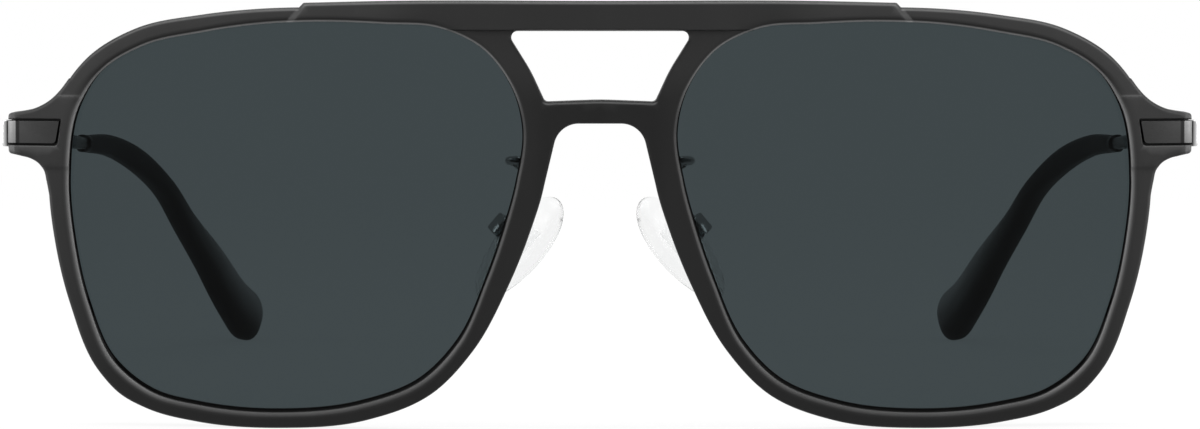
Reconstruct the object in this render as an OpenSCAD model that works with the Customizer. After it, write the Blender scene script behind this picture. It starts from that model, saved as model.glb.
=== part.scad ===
// Aviator sunglasses with a double bridge: moulded front, two tinted lenses,
// metal end plates with three-knuckle hinges, metal temples with soft tips,
// and clear nose pads that rock on wire arms.
// X runs across the face (+X is the wearer's left), Y back along the temples, Z up.
// The origin is under the middle of the whole, on the surface that it stands on.

/* [Lenses] */
// Visible width of one lens
lens_w = 55.2; // [50:0.1:60]
// Visible height of one lens
lens_h = 46.9; // [42:0.1:52]
// Gap between the visible lenses
lens_gap = 18.7; // [16:0.1:24]
// Thickness of a lens
lens_t = 2; // [1.6:0.1:2.2]
// How far a lens edge reaches into its rim
lens_bite = 0.7; // [0.4:0.05:0.9]

/* [Front] */
// Radius of the sphere that the front and the lenses follow
front_r = 230; // [180:5:320]
// Depth of the rims from front to back
rim_depth = 3.8; // [3.6:0.1:5]
// Width of a rim at the brow
rim_brow_w = 1.8; // [1.6:0.1:2.6]
// Width of a rim at the temple side
rim_side_w = 2.6; // [2.2:0.1:3.4]
// Width of a rim along the bottom
rim_bottom_w = 2.4; // [2:0.1:3.2]
// Width of a rim beside the nose
rim_nose_w = 3.25; // [2.9:0.05:4]
// Depth of the front lip, from the rim's face to the lens groove
lip_t = 1; // [0.8:0.05:1.2]
// Width of the step along the inner edge of a rim
rebate_w = 0.55; // [0.2:0.05:0.7]
// Depth of that step
rebate_t = 0.35; // [0.2:0.05:0.5]
// How much wider the rim opens behind the lens than in front of it
back_ease = 0.3; // [0.1:0.05:0.35]

/* [Brow bar and bridge] */
// Half length of the brow bar along its top edge
brow_half = 35.8; // [30:0.1:42]
// Height of the brow bar's top above the lenses
brow_rise = 2.5; // [2:0.1:3.5]
// How far the brow bar's lower edge lies under the top of the lenses
brow_under = 1.1; // [0.8:0.1:1.6]
// How far the brow bar stands proud of the rims
brow_proud = 0.6; // [0.3:0.1:1]
// Run of the slanted step at each end of the brow bar
brow_slant = 2; // [1:0.1:3]
// Height of the lower bridge at its middle
bridge_h = 2.85; // [2.4:0.05:4.4]
// Height of the lower bridge's underside above the lens centres
bridge_up = 11.25; // [9.5:0.05:12.5]

/* [End pieces] */
// Reach of an end piece from the visible lens to its tip
end_reach = 7.9; // [7:0.1:10]
// How far an end piece stands proud of the rim
end_proud = 0.25; // [0.1:0.05:0.5]
// Depth of an end piece from front to back
end_depth = 4.6; // [4.2:0.1:6]
// Height of the open slot that holds the metal plate
slot_h = 2.9; // [2.4:0.1:3.4]
// Height of the prong above the slot, at its tip
prong_top = 0.8; // [0.6:0.05:1.4]
// Height of the prong under the slot, at its tip
prong_low = 1.15; // [0.8:0.05:1.6]
// Height of the hinges above the lens centres
hinge_up = 9.9; // [8.5:0.1:11]

/* [Hinges] */
// Thickness of the bent metal plate
plate_t = 1.1; // [0.9:0.05:1.3]
// Length of the plate's front leg
plate_leg = 6.3; // [5.8:0.1:6.6]
// Outer radius of a hinge knuckle
knuckle_r = 1.25; // [1.1:0.05:1.5]
// Height of the three knuckles together
knuckle_h = 3; // [2.7:0.1:3.6]
// Diameter of the hinge screw
pin_d = 1.2; // [1:0.1:1.4]
// Distance of the hinge axis behind the end piece's tip
hinge_back = 6.8; // [6.4:0.1:9]
// Diameter of the screws that hold the plate
plate_screw_d = 0.9; // [0.7:0.1:1.1]

/* [Temples] */
// Thickness of the metal temple
temple_t = 1.4; // [1.1:0.1:1.8]
// Height of the temple at the hinge
temple_h = 3.3; // [2.6:0.05:3.6]
// Height of the temple where the tip begins
temple_end_h = 1.5; // [1.2:0.1:2]
// How far the temple stands outside the end piece
temple_proud = 1.5; // [1.2:0.1:1.8]
// How far the temple's middle lies under the hinge's middle
temple_low = 0.4; // [0:0.05:0.5]
// Straight length of the temple, from the hinge to the tip
temple_run = 75.5; // [60:0.1:85]
// Slope of the straight temple, in degrees
temple_slope = 3.2; // [2:0.1:5]
// How far the straight temple leans in before the tip
temple_lean = 2; // [0:0.1:4]
// Length of the tip, measured straight back
tip_run = 50.5; // [45:0.5:60]
// How far the tip curves in towards the head
tip_in = 18.8; // [10:0.1:24]
// Height of the tip at its paddle end
paddle_h = 10; // [7:0.1:11]
// Thickness of the tip at its paddle end
paddle_t = 4.3; // [3:0.1:4.6]
// Height of the tip where it begins
sock_h = 2.4; // [2.3:0.1:3.2]
// Thickness of the tip where it begins
sock_t = 2.1; // [2:0.1:2.8]
// Depth of the notch in the tip's front end
sock_notch = 5; // [0:0.5:7]

/* [Nose pads] */
// Length of a pad
pad_l = 15.4; // [12:0.1:18]
// Width of a pad
pad_w = 8.3; // [7:0.1:10]
// Thickness of a pad at its crown
pad_t = 2.2; // [2:0.1:3]
// Distance of a pad's middle from the middle of the nose
pad_out = 10.5; // [8:0.1:12]
// Distance of a pad's middle behind the front
pad_back = 12; // [10.5:0.1:14]
// Depth of a pad's middle under the lens centres
pad_down = 4; // [2:0.1:6]
// Diameter of the pad arm's wire
wire_d = 1; // [0.8:0.05:1.2]
// Diameter of the pad screw
pad_pin_d = 1; // [0.8:0.1:1.2]

/* [Hidden] */

// Clearances: a seated face, a running pin, the metal in its slot, a knuckle's face
seat_gap = 0.05;
pin_gap = 0.03;
slot_gap = 0.1;
knuckle_gap = 0.05;

// Points drawn on each stretch of an outline, and sides of a swept ring
outline_steps = 4;
ring_sides = 24;
// Where a cutting or crossing prism begins and ends, in front of and behind all
cut_front = -6;
cut_back = 40;

lens_x = lens_gap / 2 + lens_w / 2;
lens_z = rim_bottom_w + lens_h / 2;
hinge_z = lens_z + hinge_up;

function unit(v) = v / norm(v);
function depth_at(r, x, z) = front_r - sqrt(r * r - x * x - (z - lens_z) * (z - lens_z));

// Smooth curve through points: each slope is weighted by the chords beside it
function chord_slope(p, i, loop) =
    let (n = len(p),
         a = loop ? p[(i + n - 1) % n] : p[max(i - 1, 0)],
         c = loop ? p[(i + 1) % n] : p[min(i + 1, n - 1)],
         before = norm(p[i] - a),
         after = norm(c - p[i]))
    before == 0 ? (c - p[i]) / after
    : after == 0 ? (p[i] - a) / before
    : ((p[i] - a) / before * after + (c - p[i]) / after * before) / (before + after);

function hermite(p, q, mp, mq, t) =
    let (d = norm(q - p))
    p * (2 * t * t * t - 3 * t * t + 1)
    + mp * d * (t * t * t - 2 * t * t + t)
    + q * (3 * t * t - 2 * t * t * t)
    + mq * d * (t * t * t - t * t);

function curve(p, steps, loop = false) =
    [for (i = [0 : len(p) - (loop ? 1 : 2)], k = [0 : steps - 1])
         let (j = (i + 1) % len(p))
         hermite(p[i], p[j], chord_slope(p, i, loop), chord_slope(p, j, loop), k / steps),
     if (!loop) p[len(p) - 1]];

// Round corners: each entry is [x, y, radius], and an arc meets both sides
function corner_arc(a, p, b, r, n) =
    let (u = unit(a - p), v = unit(b - p), half = acos(u * v) / 2,
         c = p + unit(u + v) * r / sin(half),
         s = p + u * r / tan(half) - c,
         e = p + v * r / tan(half) - c,
         turn = 180 - 2 * half)
    [for (k = [0 : n]) c + (s * sin(turn * (1 - k / n)) + e * sin(turn * k / n)) / sin(turn)];

function xy(p) = [p[0], p[1]];

function rounded(p, n = 5) =
    [for (i = [0 : len(p) - 1])
         let (m = len(p), a = xy(p[(i + m - 1) % m]), b = xy(p[(i + 1) % m]))
         each (p[i][2] > 0 ? corner_arc(a, xy(p[i]), b, p[i][2], n) : [xy(p[i])])];

// Lens outline as shares of half its width and height, from the top round by
// the temple, and the width of the rim beside each point
rim_high_w = (rim_brow_w + rim_side_w) / 2;
rim_low_w = (rim_bottom_w + rim_nose_w) / 2;
lens_knots = [
    [-0.12, 1, rim_brow_w - 0.09], [0.16, 0.985, rim_brow_w + 0.06],
    [0.409, 0.943, rim_brow_w + 0.33], [0.674, 0.871, rim_high_w + 0.11],
    [0.864, 0.733, rim_high_w + 0.24], [0.947, 0.578, rim_side_w + 0.26],
    [1, 0.2, rim_side_w + 0.16], [0.978, -0.13, rim_side_w + 0.04],
    [0.918, -0.444, rim_side_w - 0.09], [0.797, -0.757, rim_bottom_w + 0.31],
    [0.719, -0.843, rim_bottom_w + 0.47], [0.628, -0.909, rim_bottom_w + 0.22],
    [0.42, -0.97, rim_bottom_w + 0.14], [0.065, -1, rim_bottom_w - 0.02],
    [-0.29, -0.951, rim_bottom_w + 0.13], [-0.55, -0.829, rim_bottom_w + 0.07],
    [-0.712, -0.632, rim_bottom_w + 0.02], [-0.842, -0.301, rim_low_w + 0.15],
    [-0.924, -0.022, rim_nose_w + 0.06], [-0.972, 0.191, rim_nose_w + 0.24],
    [-1, 0.45, rim_nose_w], [-0.957, 0.655, rim_low_w], [-0.833, 0.857, rim_low_w],
    [-0.64, 0.968, rim_low_w], [-0.4, 0.989, rim_brow_w]];
lens_line = curve([for (k = lens_knots)
                       [lens_x + k[0] * lens_w / 2, lens_z + k[1] * lens_h / 2, k[2]]],
                  outline_steps, true);

// The outline runs clockwise, so its outer side is on the left
function outward(line, i) =
    let (n = len(line), a = line[(i + n - 1) % n], b = line[(i + 1) % n])
    unit([a[1] - b[1], b[0] - a[0]]);
function grown(line, d) = [for (i = [0 : len(line) - 1]) xy(line[i]) + outward(line, i) * d];
rim_line = [for (i = [0 : len(lens_line) - 1])
                xy(lens_line[i]) + outward(lens_line, i) * lens_line[i][2]];

// Front outline: the rims' outer edges from brow to nose, and the bridge's underside
bridge_low = lens_z + bridge_up;
bridge_top = bridge_low + bridge_h;
nose_round = 3;
rim_from = 0;
rim_to = 19 * outline_steps;
nose_corner = [lens_gap / 2 - rim_nose_w - 1.18, bridge_low, nose_round];
half_front = concat([for (i = [rim_from : rim_to]) rim_line[i]],
                    corner_arc(rim_line[rim_to], xy(nose_corner),
                               [0, bridge_low], nose_round, 5));
function mirrored(p) = [for (i = [len(p) - 1 : -1 : 0]) [-p[i][0], p[i][1]]];
front_outline = concat(half_front, mirrored(half_front));

// Brow bar: a long strip with slanted ends and a slightly falling top edge
brow_top = lens_z + lens_h / 2 + brow_rise;
brow_low = lens_z + lens_h / 2 - brow_under;
brow_fall = 0.25;
brow_end_h = 2.3;
half_brow = curve([[0, brow_top], [brow_half * 0.7, brow_top],
                   [brow_half, brow_top - brow_fall]], outline_steps);
brow_outline = concat(half_brow,
                      [[brow_half + brow_slant, brow_top - brow_end_h],
                       [brow_half + brow_slant, brow_low]],
                      [[-brow_half - brow_slant, brow_low],
                       [-brow_half - brow_slant, brow_top - brow_end_h]],
                      [for (i = [len(half_brow) - 1 : -1 : 1])
                           [-half_brow[i][0], half_brow[i][1]]]);

// Opening between the brow bar and the bridge
gap_top_x = lens_gap / 2 + 2;
gap_mid_x = lens_gap / 2 - 1;
gap_low_x = lens_gap / 2 - rim_low_w + 0.1;
gap_mid_z = bridge_top + (brow_low - bridge_top) * 0.42;
gap_droop = 0.25;
opening = rounded([[-gap_top_x, brow_low, 0.8], [gap_top_x, brow_low, 0.8],
                   [gap_mid_x, gap_mid_z, 20],
                   [gap_low_x, bridge_top - gap_droop, 0.6], [0, bridge_top, 40],
                   [-gap_low_x, bridge_top - gap_droop, 0.6], [-gap_mid_x, gap_mid_z, 20]]);

// End piece: two prongs round an open slot, seen from the front
end_x = lens_gap / 2 + lens_w + end_reach;
rim_x = end_x - end_reach + rim_side_w;
slot_top = hinge_z + slot_h / 2;
slot_low = hinge_z - slot_h / 2;
end_top = slot_top + prong_top;
end_low = slot_low - prong_low;
prong_round = 0.6;
function sharp(p) = [for (q = p) [q[0], q[1], 0]];
end_outline = rounded(concat(
    [[rim_x - 3, end_top + 4.3, 0]],
    sharp(curve([[rim_x - 2.4, end_top + 4.3], [rim_x - 1.3, end_top + 2.87],
                 [rim_x - 0.1, end_top + 1.7], [rim_x + 1.1, end_top + 0.97],
                 [rim_x + 2.4, end_top + 0.48], [rim_x + 3.7, end_top + 0.22]],
                outline_steps)),
    [[end_x, end_top, prong_round], [end_x, end_low, prong_round]],
    sharp(curve([[rim_x + 3.7, end_low - 0.32], [rim_x + 2.4, end_low - 0.65],
                 [rim_x + 1.4, end_low - 1.23], [rim_x + 0.75, end_low - 2.1],
                 [rim_x + 0.45, end_low - 3.3], [rim_x - 0.03, end_low - 5.8]],
                outline_steps)),
    [[rim_x - 3, end_low - 5.8, 0]]), 4);

// Plan of the end piece and of the plate: a face along the sphere, a round corner
// and a side that runs straight back
corner_r = 1.2;
end_y = depth_at(front_r + end_proud, end_x, hinge_z);
end_turn = asin(end_x / front_r);
hinge_y = end_y + hinge_back;
hinge_x = end_x - plate_t - knuckle_r - knuckle_gap;
function face_y(x, back = 0) = end_y + (x - end_x) * tan(end_turn) + back / cos(end_turn);
plan_x = end_x - end_reach - 3;
end_plan = rounded([[plan_x, face_y(plan_x), 0], [end_x, end_y, corner_r],
                    [end_x, cut_back, 0], [plan_x, cut_back, 0]]);
slot_x = end_x - plate_t - seat_gap;
slot_plan = [[plan_x, cut_front], [end_x + 5, cut_front], [end_x + 5, cut_back],
             [slot_x, cut_back], [slot_x, face_y(slot_x, plate_t + seat_gap)],
             [plan_x, face_y(plan_x, plate_t + seat_gap)]];
leg_x = end_x - plate_t;
plate_plan = concat(rounded([[plan_x, face_y(plan_x), 0], [end_x, end_y, corner_r],
                             [end_x, hinge_y - knuckle_gap, 0],
                             [leg_x, hinge_y - knuckle_gap, 0],
                             [leg_x, face_y(leg_x, plate_t), 0.15],
                             [plan_x, face_y(plan_x, plate_t), 0]]));
// Face of the slot and of the plate from the front, with a slanted inner end
plate_x = end_x - plate_leg;
plate_slant = 0.5;
function plate_face(play) = rounded([
    [plate_x - plate_slant / 2 - play, slot_top - slot_gap + play, 0.1],
    [end_x + 5, slot_top - slot_gap + play, 0],
    [end_x + 5, slot_low + slot_gap - play, 0],
    [plate_x + plate_slant / 2 - play, slot_low + slot_gap - play, 0.5]]);
screw_at = [2.2, 4.4];
screw_head_r = plate_screw_d;
screw_head_t = 0.5;
screw_bite = 0.75;

// Hinge knuckles: low, middle and high, each with a gap to the next
knuckle_part = knuckle_h / 3;
head_r = 1;
head_t = 0.4;

// Temple and tip route: straight to the tip, then down to the ground and in
temple_x = end_x + temple_proud - temple_t / 2;
temple_z = hinge_z - temple_low;
sock_x = temple_x - temple_lean;
sock_y = hinge_y + temple_run;
sock_z = temple_z - temple_run * tan(temple_slope);
tip_floor = 2.93;
// Shares of the tip's run, curve inwards and drop, then its thickness and height
tip_knots = [
    [0, 0, 0, 0, 0], [0.16, 0.12, 0.02, 0.1, 0.08], [0.35, 0.305, 0.12, 0.2, 0.2],
    [0.5, 0.45, 0.265, 0.27, 0.18], [0.64, 0.585, 0.455, 0.32, 0.17],
    [0.79, 0.745, 0.665, 0.45, 0.33], [0.91, 0.9, 0.86, 0.75, 0.68], [1, 1, 1, 1, 1]];
tip_path = curve([for (k = tip_knots)
                      [sock_x - k[1] * tip_in, sock_y + k[0] * tip_run,
                       sock_z - k[2] * (sock_z - tip_floor),
                       sock_t + k[3] * (paddle_t - sock_t),
                       sock_h + k[4] * (paddle_h - sock_h)]], 3);

function xyz(p) = [p[0], p[1], p[2]];
function heading(path, i) =
    unit(xyz(path[min(i + 1, len(path) - 1)]) - xyz(path[max(i - 1, 0)]));
// Ring of a sweep: an oval across the path, its power 2 round and more squarer
function ring(centre, along, w, h, power, sides) =
    let (across = unit(cross(along, [0, 0, 1])), up = cross(across, along))
    [for (k = [0 : sides - 1])
         let (c = cos(360 * k / sides), s = sin(360 * k / sides))
         centre + across * (w / 2 * sign(c) * pow(abs(c), 2 / power))
                + up * (h / 2 * sign(s) * pow(abs(s), 2 / power))];

// The paddle's end closes over its last rings as a blunt round does
tip_last = len(tip_path) - 1;
tip_round = 3;
tip_blunt = 4;
function tip_close(i) = i < tip_last - tip_round ? 1
    : pow(1 - pow((i - tip_last + tip_round) / (tip_round + 0.3), tip_blunt), 1 / tip_blunt);
sock_power = 2.5;
// The front end is notched on both sides: the rings near it are pushed back there
function notched(points, i) =
    let (along = heading(tip_path, i),
         away = norm(xyz(tip_path[i]) - xyz(tip_path[0])),
         push = sock_notch * max(0, 1 - away / (2.5 * sock_notch + 0.1)))
    [for (k = [0 : len(points) - 1])
         points[k] + along * push * pow(cos(360 * k / len(points)), 2)];
tip_rings = [for (i = [0 : tip_last])
                 notched(ring(xyz(tip_path[i]), heading(tip_path, i),
                              tip_path[i][3] * tip_close(i), tip_path[i][4] * tip_close(i),
                              sock_power, ring_sides), i)];

// The metal core follows the tip's own path to three quarters of its length
core_t = 1.2;
core_power = 4;
core_last = floor(tip_last * 0.76);
core_rings = [for (i = [0 : core_last])
                  ring(xyz(tip_path[i]), heading(tip_path, i), core_t, temple_end_h,
                       core_power, ring_sides)];
bore_rings = [for (i = [core_last + 1 : -1 : 0])
                  notched(ring(xyz(tip_path[i]), heading(tip_path, i), core_t + 2 * seat_gap,
                               temple_end_h + 2 * seat_gap, core_power, ring_sides), i)];
temple_rings = concat(
    [ring([temple_x, hinge_y + knuckle_gap, temple_z], [0, 1, 0], temple_t, temple_h,
          core_power * 2, ring_sides)],
    [for (k = [0.35, 0.7])
         ring([temple_x - temple_lean * k, hinge_y + temple_run * k,
               temple_z + (sock_z - temple_z) * k], [0, 1, 0],
              temple_t + (core_t - temple_t) * k, temple_h + (temple_end_h - temple_h) * k,
              core_power * (2 - k), ring_sides)],
    core_rings);

// Row origin: under the middle of the bounding box
back_y = max([for (r = tip_rings, p = r) p[1]]);
front_y = min([for (p = front_outline) depth_at(front_r, p[0], p[1])]);
middle_y = (back_y + front_y) / 2;

// Pad frame: down along the pad, across it to the back, and out to the nose
pad_at = [pad_out, pad_back, lens_z - pad_down];
pad_down_dir = unit([0.644, 0.07, -0.762]);
pad_across_hint = [0.553, 0.75, 0.36];
pad_nose_dir = unit(cross(pad_across_hint, pad_down_dir));
pad_across_dir = cross(pad_down_dir, pad_nose_dir);
pad_pin_n = -2.6;
pad_pin_u = -1;
stem_t = 1.5;
stem_w = 1.7;
box_wall = 0.6;
box_gap = 0.1;
box_w = stem_t + 2 * (box_gap + box_wall);
box_l = 2.5;
box_front = -1.4;
box_back = -4.2;
core_plate = [3.4, 6.6, 0.7];
function pad_point(w, u, n) =
    pad_at + pad_across_dir * w + pad_down_dir * u + pad_nose_dir * n;

// Pad rings: an egg outline, wider at the top, grown and closed over its thickness
pad_sides = 28;
pad_layers = [[0, 0.86], [0.22, 0.97], [0.45, 1], [0.7, 0.93], [0.88, 0.74], [0.97, 0.45],
              [1, 0.15]];
function pad_ring(n, s) =
    [for (k = [0 : pad_sides - 1])
         let (c = cos(360 * k / pad_sides), d = -sin(360 * k / pad_sides))
         [c * pad_w / 2 * s * (1 - 0.09 * d), d * pad_l / 2 * s, n]];

// Pad arm: out of the rim's back, round a bend, and down to the pad's box
foot_x = lens_gap / 2 - 1.35;
foot_z = lens_z + 6.5;
foot_back = depth_at(front_r - rim_depth, foot_x, foot_z);
foot_in = 1.6;
flange_r = 1;
flange_t = 0.5;
box_top = pad_point(0, pad_pin_u - box_l / 2 + 0.3, box_back + box_wall);
arm_path = curve([
    [foot_x, foot_back + flange_t, foot_z], [foot_x + 0.4, foot_back + 1.4, foot_z + 0.1],
    [foot_x + 1.9, foot_back + 2, foot_z + 0.15], [foot_x + 3, foot_back + 3.3, foot_z + 0.05],
    [foot_x + 2.2, foot_back + 4.7, foot_z - 0.35], [foot_x + 0.8, foot_back + 5.5, foot_z - 1.7],
    [foot_x + 0.7, foot_back + 5.8, foot_z - 3.9], box_top], 4);
wire_sides = 10;

// Shapes that several pieces share
module across_y(outline, from = cut_front, to = cut_back)
    translate([0, to, 0]) rotate([90, 0, 0]) linear_extrude(to - from) polygon(outline);

module up_z(outline, from, to)
    translate([0, 0, from]) linear_extrude(to - from) polygon(outline);

module ball(r)
    translate([0, front_r, lens_z]) sphere(r = r, $fn = 240);

// Solid skin over a list of rings with equal sides, closed at both ends
module skin(rings) {
    n = len(rings[0]);
    last = len(rings) - 1;
    polyhedron(
        points = [for (r = rings, p = r) p],
        faces = concat(
            [[for (k = [n - 1 : -1 : 0]) k]],
            [for (i = [0 : last - 1], k = [0 : n - 1])
                 [i * n + k, i * n + (k + 1) % n, (i + 1) * n + (k + 1) % n]],
            [for (i = [0 : last - 1], k = [0 : n - 1])
                 [i * n + k, (i + 1) * n + (k + 1) % n, (i + 1) * n + k]],
            [[for (k = [0 : n - 1]) last * n + k]]));
}

module left_side() translate([0, -middle_y, 0]) children();
module right_side() translate([0, -middle_y, 0]) mirror([1, 0, 0]) children();

module pad_frame()
    multmatrix([for (i = [0 : 2])
                    [pad_across_dir[i], pad_down_dir[i], pad_nose_dir[i], pad_at[i]]])
        children();

// Frame on the plate's face, at a distance in from its tip
module on_plate(in)
    translate([end_x - in * cos(end_turn), end_y - in * sin(end_turn), hinge_z])
        rotate([0, 0, end_turn]) rotate([-90, 0, 0])
            children();

module end_piece()
    difference() {
        intersection() {
            across_y(end_outline);
            up_z(end_plan, 0, hinge_z * 2);
            ball(front_r + end_proud);
        }
        ball(front_r - end_depth);
    }

module lens_cuts() {
    across_y(grown(lens_line, 0));
    difference() {
        across_y(grown(lens_line, rebate_w));
        ball(front_r - rebate_t);
    }
    difference() {
        intersection() {
            across_y(grown(lens_line, lens_bite));
            ball(front_r - lip_t);
        }
        ball(front_r - lip_t - lens_t - 2 * seat_gap);
    }
    intersection() {
        across_y(grown(lens_line, back_ease));
        ball(front_r - lip_t - lens_t);
    }
}

module end_cuts() {
    intersection() {
        across_y(plate_face(slot_gap));
        up_z(slot_plan, slot_low - 1, slot_top + 1);
    }
    for (in = screw_at) on_plate(in) {
        cylinder(d = plate_screw_d + 2 * seat_gap, h = cut_back / 2, $fn = 24);
        translate([0, 0, end_depth + end_proud - screw_head_t])
            cylinder(r = screw_head_r + seat_gap, h = cut_back / 2, $fn = 32);
    }
}

module foot_cut()
    translate([foot_x, foot_back - foot_in - seat_gap, foot_z]) rotate([-90, 0, 0])
        cylinder(d = wire_d + 2 * seat_gap, h = foot_in + 2, $fn = 24);

module front_frame()
    color([0.17, 0.17, 0.17]) translate([0, -middle_y, 0]) difference() {
        union() {
            difference() {
                union() {
                    intersection() {
                        across_y(front_outline);
                        ball(front_r);
                    }
                    intersection() {
                        across_y(brow_outline, cut_front - 1, cut_back - 1);
                        ball(front_r + brow_proud);
                    }
                }
                ball(front_r - rim_depth);
            }
            end_piece();
            mirror([1, 0, 0]) end_piece();
        }
        across_y(opening);
        for (side = [0, 1]) mirror([side, 0, 0]) {
            lens_cuts();
            end_cuts();
            foot_cut();
        }
    }

module lens()
    color([0.25, 0.28, 0.29, 0.8]) difference() {
        intersection() {
            across_y(grown(lens_line, lens_bite - seat_gap));
            ball(front_r - lip_t - seat_gap);
        }
        ball(front_r - lip_t - lens_t - seat_gap);
    }

module knuckle(low, high, toward, from, to) {
    translate([hinge_x, hinge_y, hinge_z + low]) cylinder(r = knuckle_r, h = high - low, $fn = 48);
    translate([hinge_x, min(from, to), hinge_z + low])
        cube([toward - hinge_x, abs(to - from), high - low]);
}

module pin_bore()
    translate([hinge_x, hinge_y, hinge_z - knuckle_h])
        cylinder(d = pin_d + 2 * pin_gap, h = knuckle_h * 2, $fn = 32);

module hinge_plate()
    color([0.35, 0.35, 0.36]) difference() {
        union() {
            intersection() {
                across_y(plate_face(0));
                up_z(plate_plan, slot_low - 1, slot_top + 1);
            }
            for (low = [-knuckle_h / 2, knuckle_part / 2 + knuckle_gap / 2])
                knuckle(low, low + knuckle_part - knuckle_gap / 2, leg_x + 0.3,
                        hinge_y - knuckle_r, hinge_y - knuckle_gap);
        }
        pin_bore();
        translate([hinge_x, hinge_y, hinge_z + knuckle_h / 2 - head_t - seat_gap])
            cylinder(r = head_r + seat_gap, h = knuckle_h, $fn = 32);
        for (in = screw_at) on_plate(in)
            translate([0, 0, plate_t - screw_bite - seat_gap])
                cylinder(d = plate_screw_d + 2 * seat_gap, h = plate_t, $fn = 24);
    }

module plate_screws()
    color([0.55, 0.55, 0.56]) for (in = screw_at) on_plate(in) difference() {
        top = end_depth + end_proud;
        union() {
            translate([0, 0, plate_t - screw_bite])
                cylinder(d = plate_screw_d, h = top - plate_t + screw_bite - 0.1, $fn = 24);
            translate([0, 0, top - screw_head_t + seat_gap])
                cylinder(r = screw_head_r, h = screw_head_t - 0.1, $fn = 32);
        }
        for (turn = [0, 90]) rotate([0, 0, turn])
            translate([-screw_head_r * 0.6, -0.1, top - 0.3])
                cube([screw_head_r * 1.2, 0.2, 1]);
    }

module hinge_screw()
    color([0.55, 0.55, 0.56]) translate([hinge_x, hinge_y, hinge_z]) difference() {
        union() {
            translate([0, 0, -knuckle_h / 2])
                cylinder(d = pin_d, h = knuckle_h - 0.1, $fn = 32);
            translate([0, 0, knuckle_h / 2 - head_t]) cylinder(r = head_r, h = head_t, $fn = 32);
        }
        translate([-head_r * 2, -0.12, knuckle_h / 2 - 0.2]) cube([head_r * 4, 0.24, 1]);
    }

module temple()
    color([0.24, 0.24, 0.25]) difference() {
        union() {
            skin(temple_rings);
            knuckle(-knuckle_part / 2 + knuckle_gap / 2, knuckle_part / 2 - knuckle_gap / 2,
                    temple_x, hinge_y + knuckle_gap, hinge_y + knuckle_r);
        }
        pin_bore();
    }

module temple_tip()
    color([0.08, 0.08, 0.08]) skin(concat(bore_rings, tip_rings));

module pad_box()
    pad_frame() translate([0, pad_pin_u, 0]) difference() {
        translate([-box_w / 2, -box_l / 2, box_back]) cube([box_w, box_l, box_front - box_back]);
        translate([-stem_t / 2 - box_gap, -box_l, box_back + box_wall])
            cube([stem_t + 2 * box_gap, box_l * 2, 5]);
        translate([-box_w, 0, pad_pin_n]) rotate([0, 90, 0])
            cylinder(d = pad_pin_d + 2 * pin_gap, h = box_w * 2, $fn = 24);
    }

module pad_arm()
    color([0.45, 0.45, 0.46]) union() {
        skin([for (i = [0 : len(arm_path) - 1])
                  ring(arm_path[i], heading(arm_path, i), wire_d, wire_d, 2, wire_sides)]);
        translate([foot_x, foot_back - foot_in, foot_z]) rotate([-90, 0, 0])
            cylinder(d = wire_d, h = foot_in + flange_t + 0.2, $fn = 24);
        translate([foot_x, foot_back + 2 * seat_gap, foot_z]) rotate([-90, 0, 0])
            cylinder(r = flange_r, h = flange_t, $fn = 32);
        pad_box();
    }

module pad_screw()
    color([0.6, 0.6, 0.6]) pad_frame() translate([-box_w / 2, pad_pin_u, pad_pin_n])
        rotate([0, 90, 0]) {
            cylinder(d = pad_pin_d, h = box_w + 0.2, $fn = 24);
            translate([0, 0, box_w + seat_gap]) cylinder(d = pad_pin_d * 1.6, h = 0.3, $fn = 24);
        }

module pad_core()
    color([0.8, 0.8, 0.8]) pad_frame() difference() {
        union() {
            translate([-core_plate[0] / 2, -core_plate[1] / 2, seat_gap])
                cube([core_plate[0], core_plate[1], core_plate[2] - seat_gap]);
            translate([-stem_t / 2, pad_pin_u - stem_w / 2, pad_pin_n])
                cube([stem_t, stem_w, core_plate[2] / 2 - pad_pin_n]);
            translate([-stem_t / 2, pad_pin_u, pad_pin_n]) rotate([0, 90, 0])
                cylinder(d = stem_w, h = stem_t, $fn = 32);
        }
        translate([-box_w, pad_pin_u, pad_pin_n]) rotate([0, 90, 0])
            cylinder(d = pad_pin_d + 2 * pin_gap, h = box_w * 2, $fn = 24);
    }

module nose_pad()
    color([0.93, 0.94, 0.94, 0.5]) pad_frame() difference() {
        skin([for (k = pad_layers) pad_ring(k[0] * pad_t, k[1])]);
        translate([-core_plate[0] / 2 - seat_gap, -core_plate[1] / 2 - seat_gap, -1])
            cube([core_plate[0] + 2 * seat_gap, core_plate[1] + 2 * seat_gap,
                  core_plate[2] + seat_gap + 1]);
    }

front_frame();
left_side() lens();  // lens_left
right_side() lens();  // lens_right
left_side() hinge_plate();  // hinge_plate_left
right_side() hinge_plate();  // hinge_plate_right
left_side() plate_screws();  // plate_screws_left
right_side() plate_screws();  // plate_screws_right
left_side() hinge_screw();  // hinge_screw_left
right_side() hinge_screw();  // hinge_screw_right
left_side() temple();  // temple_left
right_side() temple();  // temple_right
left_side() temple_tip();  // temple_tip_left
right_side() temple_tip();  // temple_tip_right
left_side() pad_arm();  // pad_arm_left
right_side() pad_arm();  // pad_arm_right
left_side() pad_screw();  // pad_screw_left
right_side() pad_screw();  // pad_screw_right
left_side() pad_core();  // pad_core_left
right_side() pad_core();  // pad_core_right
left_side() nose_pad();  // nose_pad_left
right_side() nose_pad();  // nose_pad_right
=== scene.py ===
"""Aviator sunglasses with a double bridge, dressed for rendering.

Every piece is worked out in millimetres in the part's own layout: X across the face,
Y back from the front, Z up from the ground.  make() brings it into the row's frame, in metres.
"""

import math

import bmesh
import bpy
import numpy as np
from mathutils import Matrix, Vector
from mathutils.geometry import delaunay_2d_cdt


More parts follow.
